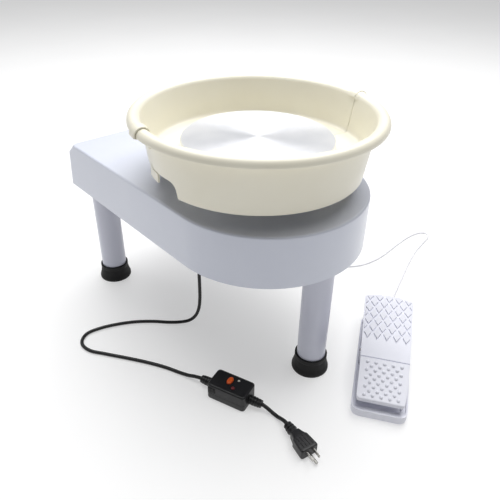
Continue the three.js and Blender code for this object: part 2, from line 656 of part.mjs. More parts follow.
// ---- in-line safety box on the mains lead ----
const box = new THREE.Group();
box.position.set(...BOX_PLACE, 0);
box.rotation.z = BOX_TURN;
machine.add(box);

const TEST_BUTTON = { x: -4, y: 4, halfLength: 5, halfWidth: 8, top: 34 };
const RESET_BUTTON = { x: 8, y: -8, halfLength: 3.4, halfWidth: 3.4, top: 33.2 };
const LED = { x: 9, y: 11, radius: 2.2 };
const boxEnd = BOX_LENGTH / 2;
const boxSide = BOX_WIDTH / 2;
const neckHoles = [-1, 1].map((side) => barAlongX(
  4.3, Math.min(side * 20, side * 50), Math.max(side * 20, side * 50), 0, BOX_SPLIT));

function boxShell(bottom, top, cavityBottom, cavityTop) {
  const outer = upright(roundedRectangle(-boxEnd, boxEnd, -boxSide, boxSide, 7), bottom, top);
  const inner = roundedRectangle(BOX_WALL - boxEnd, boxEnd - BOX_WALL, BOX_WALL - boxSide, boxSide - BOX_WALL, 4.6);
  return cut(outer, upright(inner, cavityBottom, cavityTop), ...neckHoles);
}

const boxRoof = BOX_HEIGHT - BOX_WALL;
piece(box, 'box_lower', boxShell(0, BOX_SPLIT - 0.15, BOX_WALL, BOX_HEIGHT), 'black_plastic');
piece(box, 'box_upper', cut(
  boxShell(BOX_SPLIT + 0.15, BOX_HEIGHT, 0, boxRoof),
  oval(TEST_BUTTON.halfLength + GAP, TEST_BUTTON.halfWidth + GAP, 20, 40, TEST_BUTTON.x, TEST_BUTTON.y),
  oval(RESET_BUTTON.halfLength + GAP, RESET_BUTTON.halfWidth + GAP, 20, 40, RESET_BUTTON.x, RESET_BUTTON.y),
  disc(LED.radius + GAP, 20, 40, LED.x, LED.y, 16),
), 'black_plastic');

function boxButton(name, spec, finishName) {
  const { x, y, halfLength, halfWidth, top } = spec;
  piece(box, name, join(
    oval(halfLength + 1.2, halfWidth + 1.2, boxRoof - GAP - 1.8, boxRoof - GAP, x, y),
    oval(halfLength, halfWidth, boxRoof - 1, top, x, y),
  ), finishName);
}
boxButton('test_button', TEST_BUTTON, 'orange');
boxButton('reset_button', RESET_BUTTON, 'dark_red');
piece(box, 'power_led', disc(LED.radius, 22, BOX_HEIGHT + 0.8, LED.x, LED.y, 16), 'clear_white');
const reliefProfile = [
  [0, 0], [6, 0], [6, 2], [4, 2], [4, 5.2], [6.4, 5.2], [6.4, 9], [4.9, 9.6], [4.9, 11], [5.9, 11.6], [5.9, 14],
  [4.4, 14.6], [4.4, 16], [5.2, 16.6], [5.2, 19], [4, 19.6], [4, 24], [0, 24],
];
const reliefStart = boxEnd - 4.8;
piece(box, 'box_relief_plug_side', turnedAlongX(reliefProfile, reliefStart, 0, BOX_SPLIT), 'black_plastic');
const reliefOther = turnedAlongX(reliefProfile, reliefStart, 0, BOX_SPLIT).rotateZ(Math.PI);
piece(box, 'box_relief_wheel_side', reliefOther, 'black_plastic');

// ---- mains plug, drawn along +X from the lead ----
const plug = new THREE.Group();
plug.position.set(...PLUG_PLACE, 0);
plug.rotation.z = PLUG_TURN;
machine.add(plug);

const PLUG_FRONT = 62;
const BLADES = [['plug_blade_near', -6.35], ['plug_blade_far', 6.35]];
const bladeSlot = (y, spare) => block(
  PLUG_FRONT - 9 - spare, PLUG_FRONT + 16, y - 0.75 - spare, y + 0.75 + spare,
  PLUG_AXIS_Z - 0.5 - spare, PLUG_AXIS_Z + 5.9 + spare);
const groundBar = (spare) => barAlongX(2.4 + spare, PLUG_FRONT - 9 - spare, PLUG_FRONT + 19, 0, PLUG_AXIS_Z - 5, 16);

function plugBody() {
  const outline = new THREE.Shape();
  outline.moveTo(22, -9);
  outline.lineTo(31, -11);
  outline.lineTo(35, -14);
  outline.lineTo(PLUG_FRONT - 3, -15.5);
  outline.lineTo(PLUG_FRONT, -13);
  outline.lineTo(PLUG_FRONT, 13);
  outline.lineTo(PLUG_FRONT - 3, 15.5);
  outline.lineTo(35, 14);
  outline.lineTo(31, 11);
  outline.lineTo(22, 9);
  const rounding = { bevelEnabled: true, bevelThickness: 3, bevelSize: 3, bevelOffset: -3, bevelSegments: 2 };
  const moulding = new THREE.ExtrudeGeometry(outline, { depth: 14, ...rounding }).translate(0, 0, 3.5);
  const relief = turnedAlongX([
    [0, 0], [4.4, 0], [5.2, 2], [7.2, 2.4], [7.2, 5], [5.6, 5.4], [5.6, 7.4], [8, 7.8], [8, 10.6], [6.4, 11],
    [6.4, 13], [8.6, 13.4], [8.6, 16.4], [7.4, 16.8], [7.4, 25], [0, 25],
  ], 0, 0, PLUG_AXIS_Z, 12);
  return cut(join(moulding, relief), bladeSlot(-6.35, GAP), bladeSlot(6.35, GAP), groundBar(GAP));
}
piece(plug, 'plug_body', plugBody(), 'black_plastic');
for (const [name, y] of BLADES) piece(plug, name, bladeSlot(y, 0), 'steel');
piece(plug, 'plug_ground_pin', groundBar(0), 'steel');

// ---- cords, each from exit to far end ----
const MAINS_ROUTE = [
  [-68, -79, 195.7], [-68, -79, 170], [-68, -79, 130], [-68, -79, 90], [-68.3, -79.6, 60], [-69.6, -82, 38],
  [-73.6, -87.5, 20], [-80.5, -97, 9], [-90.5, -109.5, 4.6], [-106, -128, 3.5], [-130, -152, 3.5],
  [-152, -180, 3.5], [-169, -212, 3.5], [-180, -244, 3.5], [-181, -270, 3.5], [-164, -288, 3.5],
  [-138, -287, 3.5], [-111, -270, 3.5], [-75, -245, 3.5], [-40, -222, 3.5], [-8, -204, 3.5],
  [18, -193, 4], [36, -186.5, 6.8], [47, -182.5, 10.4],
];
const PLUG_ROUTE = [
  [185, -132.6, 9.2], [194, -130.4, 5.6], [204, -129.4, 5], [213, -129.7, 8],
];
const CABLE_ROUTE = [
  [-60, 191.7, 250], [-60, 204, 249.4], [-60, 216, 244], [-59.5, 224, 230], [-58, 229, 200], [-56, 233, 150],
  [-53, 238, 100], [-49, 245, 58], [-42, 255, 26], [-31, 267, 8.6], [-17, 281, 2.8], [0, 301, 2.1],
  [12, 322, 2.1], [19, 347, 2.1], [22, 385, 2.1], [18, 431, 2.1], [13, 480, 2.1], [12, 522, 2.1],
  [17, 552, 2.1], [30, 565, 2.1], [43, 555, 2.1], [51, 522, 2.1], [61, 476, 2.1], [73, 438, 2.1],
  [87, 400, 2.1], [102, 363, 2.1], [115, 330, 2.1], [128, 299, 2.1], [140, 270, 2.6], [150, 248, 5.4],
];

const MAINS_STEPS = 36;
const PLUG_STEPS = 7;
const CABLE_STEPS = 38;
const boxAlong = new THREE.Vector2(Math.cos(BOX_TURN), Math.sin(BOX_TURN));
const boxCordStart = boxEnd + 19.2 + GAP;
const onBox = (distance) => [
  BOX_PLACE[0] + distance * boxAlong.x, BOX_PLACE[1] + distance * boxAlong.y, BOX_SPLIT];
const pedalAlong = new THREE.Vector2(-Math.sin(PEDAL_TURN), Math.cos(PEDAL_TURN));
const onPedal = (distance) => [
  PEDAL_PLACE[0] + distance * pedalAlong.x, PEDAL_PLACE[1] + distance * pedalAlong.y, PEDAL_CORD_Z];
const onPlug = (distance) => [
  PLUG_PLACE[0] + distance * Math.cos(PLUG_TURN), PLUG_PLACE[1] + distance * Math.sin(PLUG_TURN), PLUG_AXIS_Z];
MAINS_ROUTE.push(onBox(-boxCordStart - 6), onBox(-boxCordStart));
PLUG_ROUTE.unshift(onBox(boxCordStart), onBox(boxCordStart + 5));
PLUG_ROUTE.push(onPlug(-GAP - 5), onPlug(-GAP));
CABLE_ROUTE.push(onPedal(148), onPedal(PEDAL_BASE.toe + 17.2 + GAP));
piece(machine, 'mains_cord', tube(MAINS_ROUTE, MAINS_DIAMETER, MAINS_STEPS, 8), 'black_plastic');
piece(machine, 'plug_cord', tube(PLUG_ROUTE, MAINS_DIAMETER, PLUG_STEPS, 8), 'black_plastic');
piece(machine, 'pedal_cable', tube(CABLE_ROUTE, CABLE_DIAMETER, CABLE_STEPS, 8), 'white_cable');

// ---- origin: on the floor, under the middle of everything but the leads and what is on them ----
const ON_THE_LEADS = /^(mains_cord|plug_|box_|test_button|reset_button|power_led|pedal_cable$)/;
const extent = new THREE.Box3();
machine.updateMatrixWorld(true);
machine.traverse((part) => {
  if (part.isMesh && !ON_THE_LEADS.test(part.name)) extent.expandByObject(part, true);
});
const middle = extent.getCenter(new THREE.Vector3());
machine.position.set(-middle.x, -middle.y, 0);
machine.updateMatrixWorld(true);

export default machine;
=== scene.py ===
"""Looks of a table-top pottery wheel: split cream basin, white housing on legs, pedal and leads."""

import json
import math

import bmesh
import bpy
from mathutils import Matrix, Vector


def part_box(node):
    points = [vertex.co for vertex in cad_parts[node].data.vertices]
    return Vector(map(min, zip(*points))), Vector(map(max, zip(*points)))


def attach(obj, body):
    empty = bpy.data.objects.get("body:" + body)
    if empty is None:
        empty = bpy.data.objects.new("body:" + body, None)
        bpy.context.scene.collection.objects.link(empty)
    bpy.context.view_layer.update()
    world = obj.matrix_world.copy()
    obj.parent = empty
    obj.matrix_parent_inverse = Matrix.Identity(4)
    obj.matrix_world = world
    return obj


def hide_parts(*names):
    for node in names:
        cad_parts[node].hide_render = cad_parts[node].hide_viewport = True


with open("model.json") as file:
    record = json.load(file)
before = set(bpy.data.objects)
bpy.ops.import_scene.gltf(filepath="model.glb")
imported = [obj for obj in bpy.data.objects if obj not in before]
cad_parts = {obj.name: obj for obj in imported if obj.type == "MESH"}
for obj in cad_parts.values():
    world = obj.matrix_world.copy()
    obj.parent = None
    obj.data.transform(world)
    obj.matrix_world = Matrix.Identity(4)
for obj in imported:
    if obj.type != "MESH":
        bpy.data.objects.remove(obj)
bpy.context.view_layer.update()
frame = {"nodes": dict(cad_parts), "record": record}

MM = 0.001
head_low, head_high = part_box("wheel_head")
SPINDLE = Vector(((head_low.x + head_high.x) / 2, (head_low.y + head_high.y) / 2, 0))
HERE = Matrix.Identity(4)
HALF_TURN = Matrix.Rotation(math.pi, 4, "Z")
Z_TO_Y = Matrix.Rotation(-math.pi / 2, 4, "X")


def place(x, y, degrees):
    """Where a part stands, in millimetres from the spindle's foot, and how far it is turned about Z."""
    return Matrix.Translation((x, y, 0)) @ Matrix.Rotation(math.radians(degrees), 4, "Z")


BASIN = place(0, 0, -15.3)
PEDAL = place(246.3, 92.2, 33.7)
BOX = place(117.75, -156.5, 20)
PLUG = place(226, -131.5, -10)
BOX_AXIS_Z = 13
PLUG_AXIS_Z = 10.5
PEDAL_CORD_Z = 11.5
MAINS_EXIT_X, MAINS_EXIT_Y = -68, -79
CABLE_EXIT_X, CABLE_EXIT_Z = -60, 250

# ---- camera ----
YAW, PITCH, ROLL = math.radians(47.78), math.radians(33.08), 0.0197
CAMERA_FROM_SPINDLE = Vector((0.60996, -0.56622, 0.7159))
SENSOR_WIDTH, LENS = 36, 39.08


def add_camera():
    """Aims the camera by its yaw, pitch and roll."""
    ahead = Vector((-math.sin(YAW) * math.cos(PITCH), math.cos(YAW) * math.cos(PITCH), -math.sin(PITCH)))
    level = Vector((math.cos(YAW), math.sin(YAW), 0))
    upward = level.cross(ahead)
    right = level * math.cos(ROLL) + upward * math.sin(ROLL)
    up = upward * math.cos(ROLL) - level * math.sin(ROLL)
    data = bpy.data.cameras.new("camera")
    data.sensor_width = SENSOR_WIDTH
    data.lens = LENS
    camera = bpy.data.objects.new("camera", data)
    bpy.context.scene.collection.objects.link(camera)
    turn = Matrix((right, up, -ahead)).transposed().to_4x4()
    camera.matrix_world = Matrix.Translation(SPINDLE + CAMERA_FROM_SPINDLE) @ turn
    bpy.context.scene.camera = camera


add_camera()


# ---- materials ----
def linear(*srgb):
    """The linear colour of 0 to 255 screen values."""
    out = []
    for value in srgb:
        share = value / 255
        out.append(share / 12.92 if share <= 0.04045 else ((share + 0.055) / 1.055) ** 2.4)
    return (*out, 1.0)


class Nodes:
    """Short names for adding nodes to one material."""

    def __init__(self, name):
        self.material = bpy.data.materials.new(name)
        self.material.use_nodes = True
        self.tree = self.material.node_tree
        self.shader = self.tree.nodes["Principled BSDF"]
        self.spot = self.add("ShaderNodeTexCoord").outputs["Object"]

    def add(self, kind, **settings):
        node = self.tree.nodes.new(kind)
        for key, value in settings.items():
            setattr(node, key, value)
        return node

    def link(self, source, target):
        self.tree.links.new(source, target)

    def noise(self, scale, detail=3.0, rough=0.5):
        node = self.add("ShaderNodeTexNoise")
        node.inputs["Scale"].default_value = scale
        node.inputs["Detail"].default_value = detail
        node.inputs["Roughness"].default_value = rough
        self.link(self.spot, node.inputs["Vector"])
        return node.outputs["Fac"]

    def ramp(self, value, *stops):
        node = self.add("ShaderNodeValToRGB")
        band = node.color_ramp
        while len(band.elements) < len(stops):
            band.elements.new(0.5)
        for element, (position, colour) in zip(band.elements, stops):
            element.position = position
            element.color = colour
        self.link(value, node.inputs["Fac"])
        return node.outputs["Color"]

    def spread(self, value, low, high, start=0.3, stop=0.7):
        """Maps start to stop onto low to high."""
        node = self.add("ShaderNodeMapRange")
        node.inputs["From Min"].default_value = start
        node.inputs["From Max"].default_value = stop
        node.inputs["To Min"].default_value = low
        node.inputs["To Max"].default_value = high
        self.link(value, node.inputs["Value"])
        return node.outputs["Result"]

    def bump(self, height, distance, under=None):
        node = self.add("ShaderNodeBump")
        node.inputs["Distance"].default_value = distance
        node.inputs["Strength"].default_value = 1.0
        self.link(height, node.inputs["Height"])
        if under is not None:
            self.link(under, node.inputs["Normal"])
        return node.outputs["Normal"]

    def into(self, socket, value):
        """Sets a shader input to a constant, or feeds it from another node."""
        if hasattr(value, "links"):
            self.link(value, self.shader.inputs[socket])
        else:
            self.shader.inputs[socket].default_value = value


def moulded(name, light, dark, roughness, grain=0.000002, grain_scale=1200, patch_scale=9, coat=0.0,
            coat_roughness=0.1, specular=0.5, wave=0.0):
    """A moulded or painted surface: faint patches of tone, fine grain, and a slow waviness."""
    n = Nodes(name)
    patch = n.noise(patch_scale, 4, 0.55)
    n.into("Base Color", n.ramp(patch, (0.3, dark), (0.7, light)))
    n.into("Roughness", n.spread(n.noise(patch_scale * 1.5, 1, 0.4), roughness * 0.92, roughness * 1.08))
    normal = n.bump(n.noise(grain_scale, 2, 0.5), grain)
    if wave:
        normal = n.bump(n.noise(14, 1, 0.4), wave, normal)
    n.into("Normal", normal)
    n.into("Coat Weight", coat)
    n.into("Coat Roughness", coat_roughness)
    n.into("Specular IOR Level", specular)
    return n.material


def metal(name, light, dark, roughness, grain_scale=900, grain=0.00002):
    """Bare metal with faint patches of tone and gloss."""
    n = Nodes(name)
    n.into("Metallic", 1.0)
    n.into("Base Color", n.ramp(n.noise(40, 5, 0.6), (0.25, dark), (0.75, light)))
    n.into("Roughness", n.spread(n.noise(160, 4, 0.6), roughness * 0.8, roughness * 1.25))
    n.into("Normal", n.bump(n.noise(grain_scale, 3, 0.6), grain))
    return n.material


def turned_metal(name, centre):
    """Aluminium turned on a lathe: fine rings, so the gloss spreads out from the centre in wedges."""
    n = Nodes(name)
    shifted = n.add("ShaderNodeVectorMath", operation="SUBTRACT")
    n.link(n.spot, shifted.inputs[0])
    shifted.inputs[1].default_value = centre
    rings = n.add("ShaderNodeTexWave", wave_type="RINGS", rings_direction="Z")
    rings.inputs["Scale"].default_value = 330
    rings.inputs["Distortion"].default_value = 0.6
    rings.inputs["Detail"].default_value = 1
    rings.inputs["Detail Scale"].default_value = 0.3
    n.link(shifted.outputs[0], rings.inputs["Vector"])
    n.into("Metallic", 0.4)
    tone = n.ramp(n.noise(22, 3, 0.5), (0.3, linear(222, 224, 229)), (0.7, linear(236, 237, 241)))
    n.into("Base Color", tone)
    n.into("Roughness", n.spread(rings.outputs["Fac"], 0.27, 0.33, 0, 1))
    n.into("Normal", n.bump(rings.outputs["Fac"], 0.000004))
    n.into("Anisotropic", 0.9)
    n.into("Anisotropic Rotation", 0.25)
    round_z = n.add("ShaderNodeTangent", direction_type="RADIAL", axis="Z")
    n.link(round_z.outputs["Tangent"], n.shader.inputs["Tangent"])
    return n.material


LOOKS = {
    "shell_white": moulded("shell_white", linear(219, 223, 235), linear(214, 218, 231), 0.3, coat=0.35,
                           coat_roughness=0.2),
    "tube_white": moulded("tube_white", linear(214, 216, 229), linear(208, 210, 224), 0.3, grain=0.000003,
                          coat=0.3, coat_roughness=0.15),
    "basin_cream": moulded("basin_cream", linear(246, 242, 225), linear(243, 238, 219), 0.36, coat=0.2,
                           coat_roughness=0.2, wave=0.0001),
    "foot_rubber": moulded("foot_rubber", linear(26, 26, 26), linear(18, 18, 18), 0.62, grain=0.00002,
                           grain_scale=1400, patch_scale=40, specular=0.35),
    "black_plastic": moulded("black_plastic", linear(30, 30, 32), linear(22, 22, 24), 0.4, grain=0.00001,
                             grain_scale=1700, patch_scale=30),
    "head_aluminium": turned_metal("head_aluminium", SPINDLE),
    "bright_steel": metal("bright_steel", linear(205, 203, 198), linear(184, 183, 180), 0.26),
    "cast_iron": metal("cast_iron", linear(96, 99, 106), linear(74, 76, 82), 0.5, 500, 0.00006),
    "pedal_white": moulded("pedal_white", linear(236, 237, 246), linear(230, 231, 241), 0.4, coat=0.1,
                           coat_roughness=0.3, grain=0.000003),
    "board_green": moulded("board_green", linear(38, 112, 74), linear(26, 88, 56), 0.45),
    "button_orange": moulded("button_orange", linear(255, 112, 34), linear(250, 96, 22), 0.3, coat=0.5,
                             patch_scale=120),
    "button_red": moulded("button_red", linear(140, 52, 54), linear(112, 38, 42), 0.45, patch_scale=120),
    "lens_white": moulded("lens_white", linear(250, 248, 238), linear(240, 238, 226), 0.2, coat=0.5,
                          patch_scale=200),
    "belt_rubber": moulded("belt_rubber", linear(44, 44, 44), linear(30, 30, 30), 0.7, grain_scale=700,
                           grain=0.0001),
    "cable_black": moulded("cable_black", linear(20, 20, 21), linear(13, 13, 14), 0.42, grain=0.00001,
                           grain_scale=1300, patch_scale=60),
    "cable_white": moulded("cable_white", linear(236, 236, 240), linear(228, 228, 233), 0.45, patch_scale=60),
}

# ---- outlines and solids, in millimetres: a solid is (points, faces) ----
NEARLY_STRAIGHT = math.radians(89)
SAME_POINT = 1e-6


def eased(points, radius=1.0, steps=4, closed=False):
    """A polyline with each corner rounded. A point may carry its own radius as a third number."""
    out, count = [], len(points)
    for i, point in enumerate(points):
        size = point[2] if len(point) > 2 else radius
        here = Vector(point[:2])
        if not closed and i in (0, count - 1) or size <= 0:
            out.append(tuple(here))
            continue
        before, after = Vector(points[i - 1][:2]) - here, Vector(points[(i + 1) % count][:2]) - here
        if before.length < SAME_POINT or after.length < SAME_POINT:
            out.append(tuple(here))
            continue
        half = before.angle(after) / 2
        if half > NEARLY_STRAIGHT:
            out.append(tuple(here))
            continue
        reach = min(size / math.tan(half), before.length * 0.49, after.length * 0.49)
        start, stop = here + before.normalized() * reach, here + after.normalized() * reach
        for k in range(steps + 1):
            s = k / steps
            out.append(tuple(start * (1 - s) ** 2 + here * 2 * s * (1 - s) + stop * s * s))
    return out


def rectangle(x0, x1, y0, y1, corner, steps=8):
    return eased([(x0, y0), (x1, y0), (x1, y1), (x0, y1)], corner, steps, closed=True)


def ellipse(x, y, a, b, sides=40):
    return [(x + a * math.cos(math.tau * i / sides), y + b * math.sin(math.tau * i / sides))
            for i in range(sides)]


def prism(outline, bottom, top):
    count = len(outline)
    points = [(x, y, bottom) for x, y in outline] + [(x, y, top) for x, y in outline]
    sides = [(i, (i + 1) % count, count + (i + 1) % count, count + i) for i in range(count)]
    return points, [tuple(reversed(range(count))), tuple(range(count, 2 * count)), *sides]


def block(x0, x1, y0, y1, z0, z1):
    return prism([(x0, y0), (x1, y0), (x1, y1), (x0, y1)], z0, z1)


def along_x(outline, x0, x1):
    """A side outline in Y and Z, run along X."""
    points, faces = prism(outline, x0, x1)
    return [(z, x, y) for x, y, z in points], faces


def along_y(outline, y0, y1):
    """An outline in X and Z, run along Y."""
    points, faces = prism(outline, y0, y1)
    return [(x, across, up) for x, up, across in points], faces


def loft(rings):
    """A skin over rings with equal numbers of points, closed at both ends."""
    count = len(rings[0])
    points = [p for ring in rings for p in ring]
    faces = []
    for k in range(len(rings) - 1):
        for i in range(count):
            j = (i + 1) % count
            faces.append((k * count + i, k * count + j, (k + 1) * count + j, (k + 1) * count + i))
    faces.append(tuple(reversed(range(count))))
    faces.append(tuple(range((len(rings) - 1) * count, len(rings) * count)))
    return points, faces


def lathe(profile, sides=96, closed=False):
    """A body of revolution about Z from (radius, height) points."""
    points, rows, faces = [], [], []
    for radius, height in profile:
        if radius < SAME_POINT:
            rows.append([len(points)] * sides)
            points.append((0, 0, height))
            continue
        rows.append(list(range(len(points), len(points) + sides)))
        for i in range(sides):
            turn = math.tau * i / sides
            points.append((radius * math.cos(turn), radius * math.sin(turn), height))
    pairs = list(zip(rows, rows[1:])) + ([(rows[-1], rows[0])] if closed else [])
    for low, high in pairs:
        for i in range(sides):
            j = (i + 1) % sides
            corners = tuple(dict.fromkeys((low[i], low[j], high[j], high[i])))
            if len(corners) > 2:
                faces.append(corners)
    return points, faces


def moved(solid, matrix):
    return [tuple(matrix @ Vector(p)) for p in solid[0]], solid[1]


def lying(solid, start, y=0.0, z=0.0):
    """A lathe body laid down along +X."""
    return [(start + h, y + b, z - a) for a, b, h in solid[0]], solid[1]


def rod(radius, x0, x1, y, z, sides=48, ease=0.4):
    """A round bar along X."""
    profile = eased([(0, 0), (radius, 0), (radius, x1 - x0), (0, x1 - x0)], ease, 3)
    return lying(lathe(profile, sides), x0, y, z)


def together(*solids):
    """Several solids as one."""
    points, faces = [], []
    for some_points, some_faces in solids:
        base = len(points)
        points += some_points
        faces += [tuple(base + i for i in face) for face in some_faces]
    return points, faces


def raw_object(name, solid, where):
    """A mesh object from one solid, with its faces pointing outward."""
    mesh = bpy.data.meshes.new(name)
    mesh.from_pydata([SPINDLE + MM * (where @ Vector(p)) for p in solid[0]], [], solid[1])
    work = bmesh.new()
    work.from_mesh(mesh)
    bmesh.ops.remove_doubles(work, verts=work.verts, dist=1e-7)
    bmesh.ops.recalc_face_normals(work, faces=work.faces)
    work.to_mesh(mesh)
    work.free()
    made = bpy.data.objects.new(name, mesh)
    bpy.context.scene.collection.objects.link(made)
    return made


def changed(target, solid, operation, where):
    """target with one solid joined to it, cut from it, or kept where both are."""
    tool = raw_object("tool", solid, where)
    modifier = target.modifiers.new("shape", "BOOLEAN")
    modifier.object = tool
    modifier.operation = operation
    modifier.solver = "EXACT"
    graph = bpy.context.evaluated_depsgraph_get()
    graph.update()
    mesh = bpy.data.meshes.new_from_object(target.evaluated_get(graph))
    target.modifiers.clear()
    old, target.data = target.data, mesh
    bpy.data.meshes.remove(old)
    bpy.data.objects.remove(tool)


def finished(name, solid, slot, body, nodes=(), where=HERE, joins=(), cuts=(), keeps=(), bevel=0.0,
             bevel_steps=2, crease=32):
    """Makes one piece: its shape and finish, the body it rides on, and the CAD nodes it stands for."""
    made = raw_object(name, solid, where)
    for operation, tools in (("UNION", joins), ("INTERSECT", keeps), ("DIFFERENCE", cuts)):
        for tool in tools:
            changed(made, tool, operation, where)
    mesh = made.data
    for polygon in mesh.polygons:
        polygon.use_smooth = True
    mesh.set_sharp_from_angle(angle=math.radians(crease))
    if bevel:
        edge = made.modifiers.new("edges", "BEVEL")
        edge.width = bevel * MM
        edge.segments = bevel_steps
        edge.limit_method = "ANGLE"
        edge.angle_limit = math.radians(crease)
        edge.use_clamp_overlap = True
        edge.miter_outer = "MITER_ARC"
    even = made.modifiers.new("even", "WEIGHTED_NORMAL")
    even.keep_sharp = True
    mesh.materials.clear()
    mesh.materials.append(LOOKS[slot])
    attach(made, body)
    if nodes:
        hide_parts(*nodes)
    return made


# ---- cords, each from its exit to its far end ----
def on(where, distance, height):
    """A point on the X axis of a part that stands elsewhere."""
    return tuple(where @ Vector((distance, 0, height)))


MAINS_ROUTE = [
    (MAINS_EXIT_X, MAINS_EXIT_Y, 195.7), (-68, -79, 170), (-68, -79, 130), (-68, -79, 90),
    (-68.3, -79.6, 60), (-69.6, -82, 38), (-73.6, -87.5, 20), (-80.5, -97, 9), (-90.5, -109.5, 4.6),
    (-106, -128, 3.5), (-130, -152, 3.5), (-152, -180, 3.5), (-169, -212, 3.5), (-180, -244, 3.5),
    (-181, -270, 3.5), (-164, -288, 3.5), (-138, -287, 3.5), (-111, -270, 3.5), (-75, -245, 3.5),
    (-40, -222, 3.5), (-8, -204, 3.5), (18, -193, 4), (36, -186.5, 6.8), (47, -182.5, 10.4),
    on(BOX, -61.5, BOX_AXIS_Z), on(BOX, -55.5, BOX_AXIS_Z),
]
PLUG_ROUTE = [
    on(BOX, 55.5, BOX_AXIS_Z), on(BOX, 60.5, BOX_AXIS_Z), (185, -132.6, 9.2), (194, -130.4, 5.6),
    (204, -129.4, 5), (213, -129.7, 8), on(PLUG, -5.3, PLUG_AXIS_Z), on(PLUG, -0.3, PLUG_AXIS_Z),
]
CABLE_ROUTE = [
    (CABLE_EXIT_X, 191.7, CABLE_EXIT_Z), (-60, 204, 249.4), (-60, 216, 244), (-59.5, 224, 230),
    (-58, 229, 200), (-56, 233, 150), (-53, 238, 100), (-49, 245, 58), (-42, 255, 26), (-31, 267, 8.6),
    (-17, 281, 2.8), (0, 301, 2.1), (12, 322, 2.1), (19, 347, 2.1), (22, 385, 2.1), (18, 431, 2.1),
    (13, 480, 2.1), (12, 522, 2.1), (17, 552, 2.1), (30, 565, 2.1), (43, 555, 2.1), (51, 522, 2.1),
    (61, 476, 2.1), (73, 438, 2.1), (87, 400, 2.1), (102, 363, 2.1), (115, 330, 2.1), (128, 299, 2.1),
    (140, 270, 2.6), (150, 248, 5.4), tuple(PEDAL @ Vector((0, 148, PEDAL_CORD_Z))),
    tuple(PEDAL @ Vector((0, 137.5, PEDAL_CORD_Z))),
]


def denser(route):
    """The route with one point more between each two, on the same smooth line."""
    points = [Vector(p) for p in route]
    out = [points[0]]
    for i in range(len(points) - 1):
        before = points[max(i - 1, 0)]
        after = points[min(i + 2, len(points) - 1)]
        out.append((points[i] + points[i + 1]) * 0.5625 - (before + after) * 0.0625)
        out.append(points[i + 1])
    return out


def add_cord(name, route, diameter, slot):
    """A round cord along the route. Returns it with the point where it starts."""
    points = [SPINDLE + MM * Vector(p) for p in route]
    data = bpy.data.curves.new(name, "CURVE")
    data.dimensions = "3D"
    data.bevel_depth = diameter * MM / 2
    data.bevel_resolution = 5
    data.resolution_u = 8
    data.use_fill_caps = True
    data.materials.append(LOOKS[slot])
    spline = data.splines.new("BEZIER")
    spline.bezier_points.add(len(points) - 1)
    for i, knot in enumerate(spline.bezier_points):
        before, after = points[max(i - 1, 0)], points[min(i + 1, len(points) - 1)]
        heading = (after - before).normalized()
        knot.handle_left_type = knot.handle_right_type = "FREE"
        knot.co = points[i]
        knot.handle_left = points[i] - heading * (points[i] - before).length / 3
        knot.handle_right = points[i] + heading * (after - points[i]).length / 3
    cord = bpy.data.objects.new(name, data)
    bpy.context.scene.collection.objects.link(cord)
    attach(cord, "machine")
    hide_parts(name)
    return cord, points[0]


mains_cord, mains_exit = add_cord("mains_cord", MAINS_ROUTE, 6.5, "cable_black")
plug_cord, plug_cord_exit = add_cord("plug_cord", denser(PLUG_ROUTE), 6.5, "cable_black")
pedal_cable, cable_exit = add_cord("pedal_cable", CABLE_ROUTE, 4.0, "cable_white")

# ---- wheel head, legs and feet ----
finished("wheel_head", lathe(eased([
    (0, 377), (34, 377), (36, 386), (116, 386), (119, 377), (124, 377), (125, 378), (125, 391.4, 0.6),
    (123.6, 393, 0.6), (0, 393)], 1.0, 4), 160), "head_aluminium", "spindle", ["wheel_head"], crease=25)

LEG_PLACES = {"front": (154, 0), "rear_near": (-326, -122), "rear_far": (-326, 122)}
LEG_PROFILE = eased([(23.2, 6.5), (25.3, 6.5), (25.3, 225.6), (23.2, 225.6)], 0.5, 2, closed=True)
FOOT_PROFILE = eased([
    (0, 0), (32.2, 0, 0.8), (33, 1.4, 0.8), (33, 5, 3), (30.4, 13, 6), (28.8, 21, 5), (28.1, 25, 1.2),
    (28.8, 26.4, 0.8), (28.8, 33.2, 0.8), (28.1, 34, 0.5), (25.5, 34, 0.3), (25.5, 6.2, 0.2), (0, 6.2)],
    1.0, 4)
for side, (x, y) in LEG_PLACES.items():
    leg, foot = "leg_" + side, "foot_" + side
    finished(leg, lathe(LEG_PROFILE, 72, closed=True), "tube_white", "machine", [leg], place(x, y, 0))
    finished(foot, lathe(FOOT_PROFILE, 72), "foot_rubber", "machine", [foot], place(x, y, 0))

# ---- housing: rings of the outline, up the outside and down the inside ----
ROUND_X, HALF_WIDTH, HOUSING_LOW, HOUSING_HIGH, EDGE = 23, 171, 227, 317, 4
HOUSING_WALL = 3
BEVEL_FROM = 297
BACK_AT_FOOT, BACK_AT_BEVEL, BEVEL_LEAN = -368, -359, 1.2


def housing_back(z):
    """X of the end wall, which leans in a little up to the broad bevel along its top edge."""
    if z < BEVEL_FROM:
        return BACK_AT_FOOT + (z - HOUSING_LOW) * (BACK_AT_BEVEL - BACK_AT_FOOT) / (BEVEL_FROM - HOUSING_LOW)
    return BACK_AT_BEVEL + (z - BEVEL_FROM) * BEVEL_LEAN


def housing_ring(z, inset, lean_inset=None):
    """The plan outline at one height: a half round end, two sides and a square end."""
    half = HALF_WIDTH - inset
    back = housing_back(z) + (inset if lean_inset is None else lean_inset)
    corner = 12 - min(inset, 4)
    points = []
    for i in range(73):
        turn = math.radians(-90 + 2.5 * i)
        points.append((ROUND_X + half * math.cos(turn), half * math.sin(turn), z))
    for middle_y, start in ((half - corner, 90), (corner - half, 180)):
        for i in range(11):
            turn = math.radians(start + 9 * i)
            points.append((back + corner + corner * math.cos(turn), middle_y + corner * math.sin(turn), z))
    return points


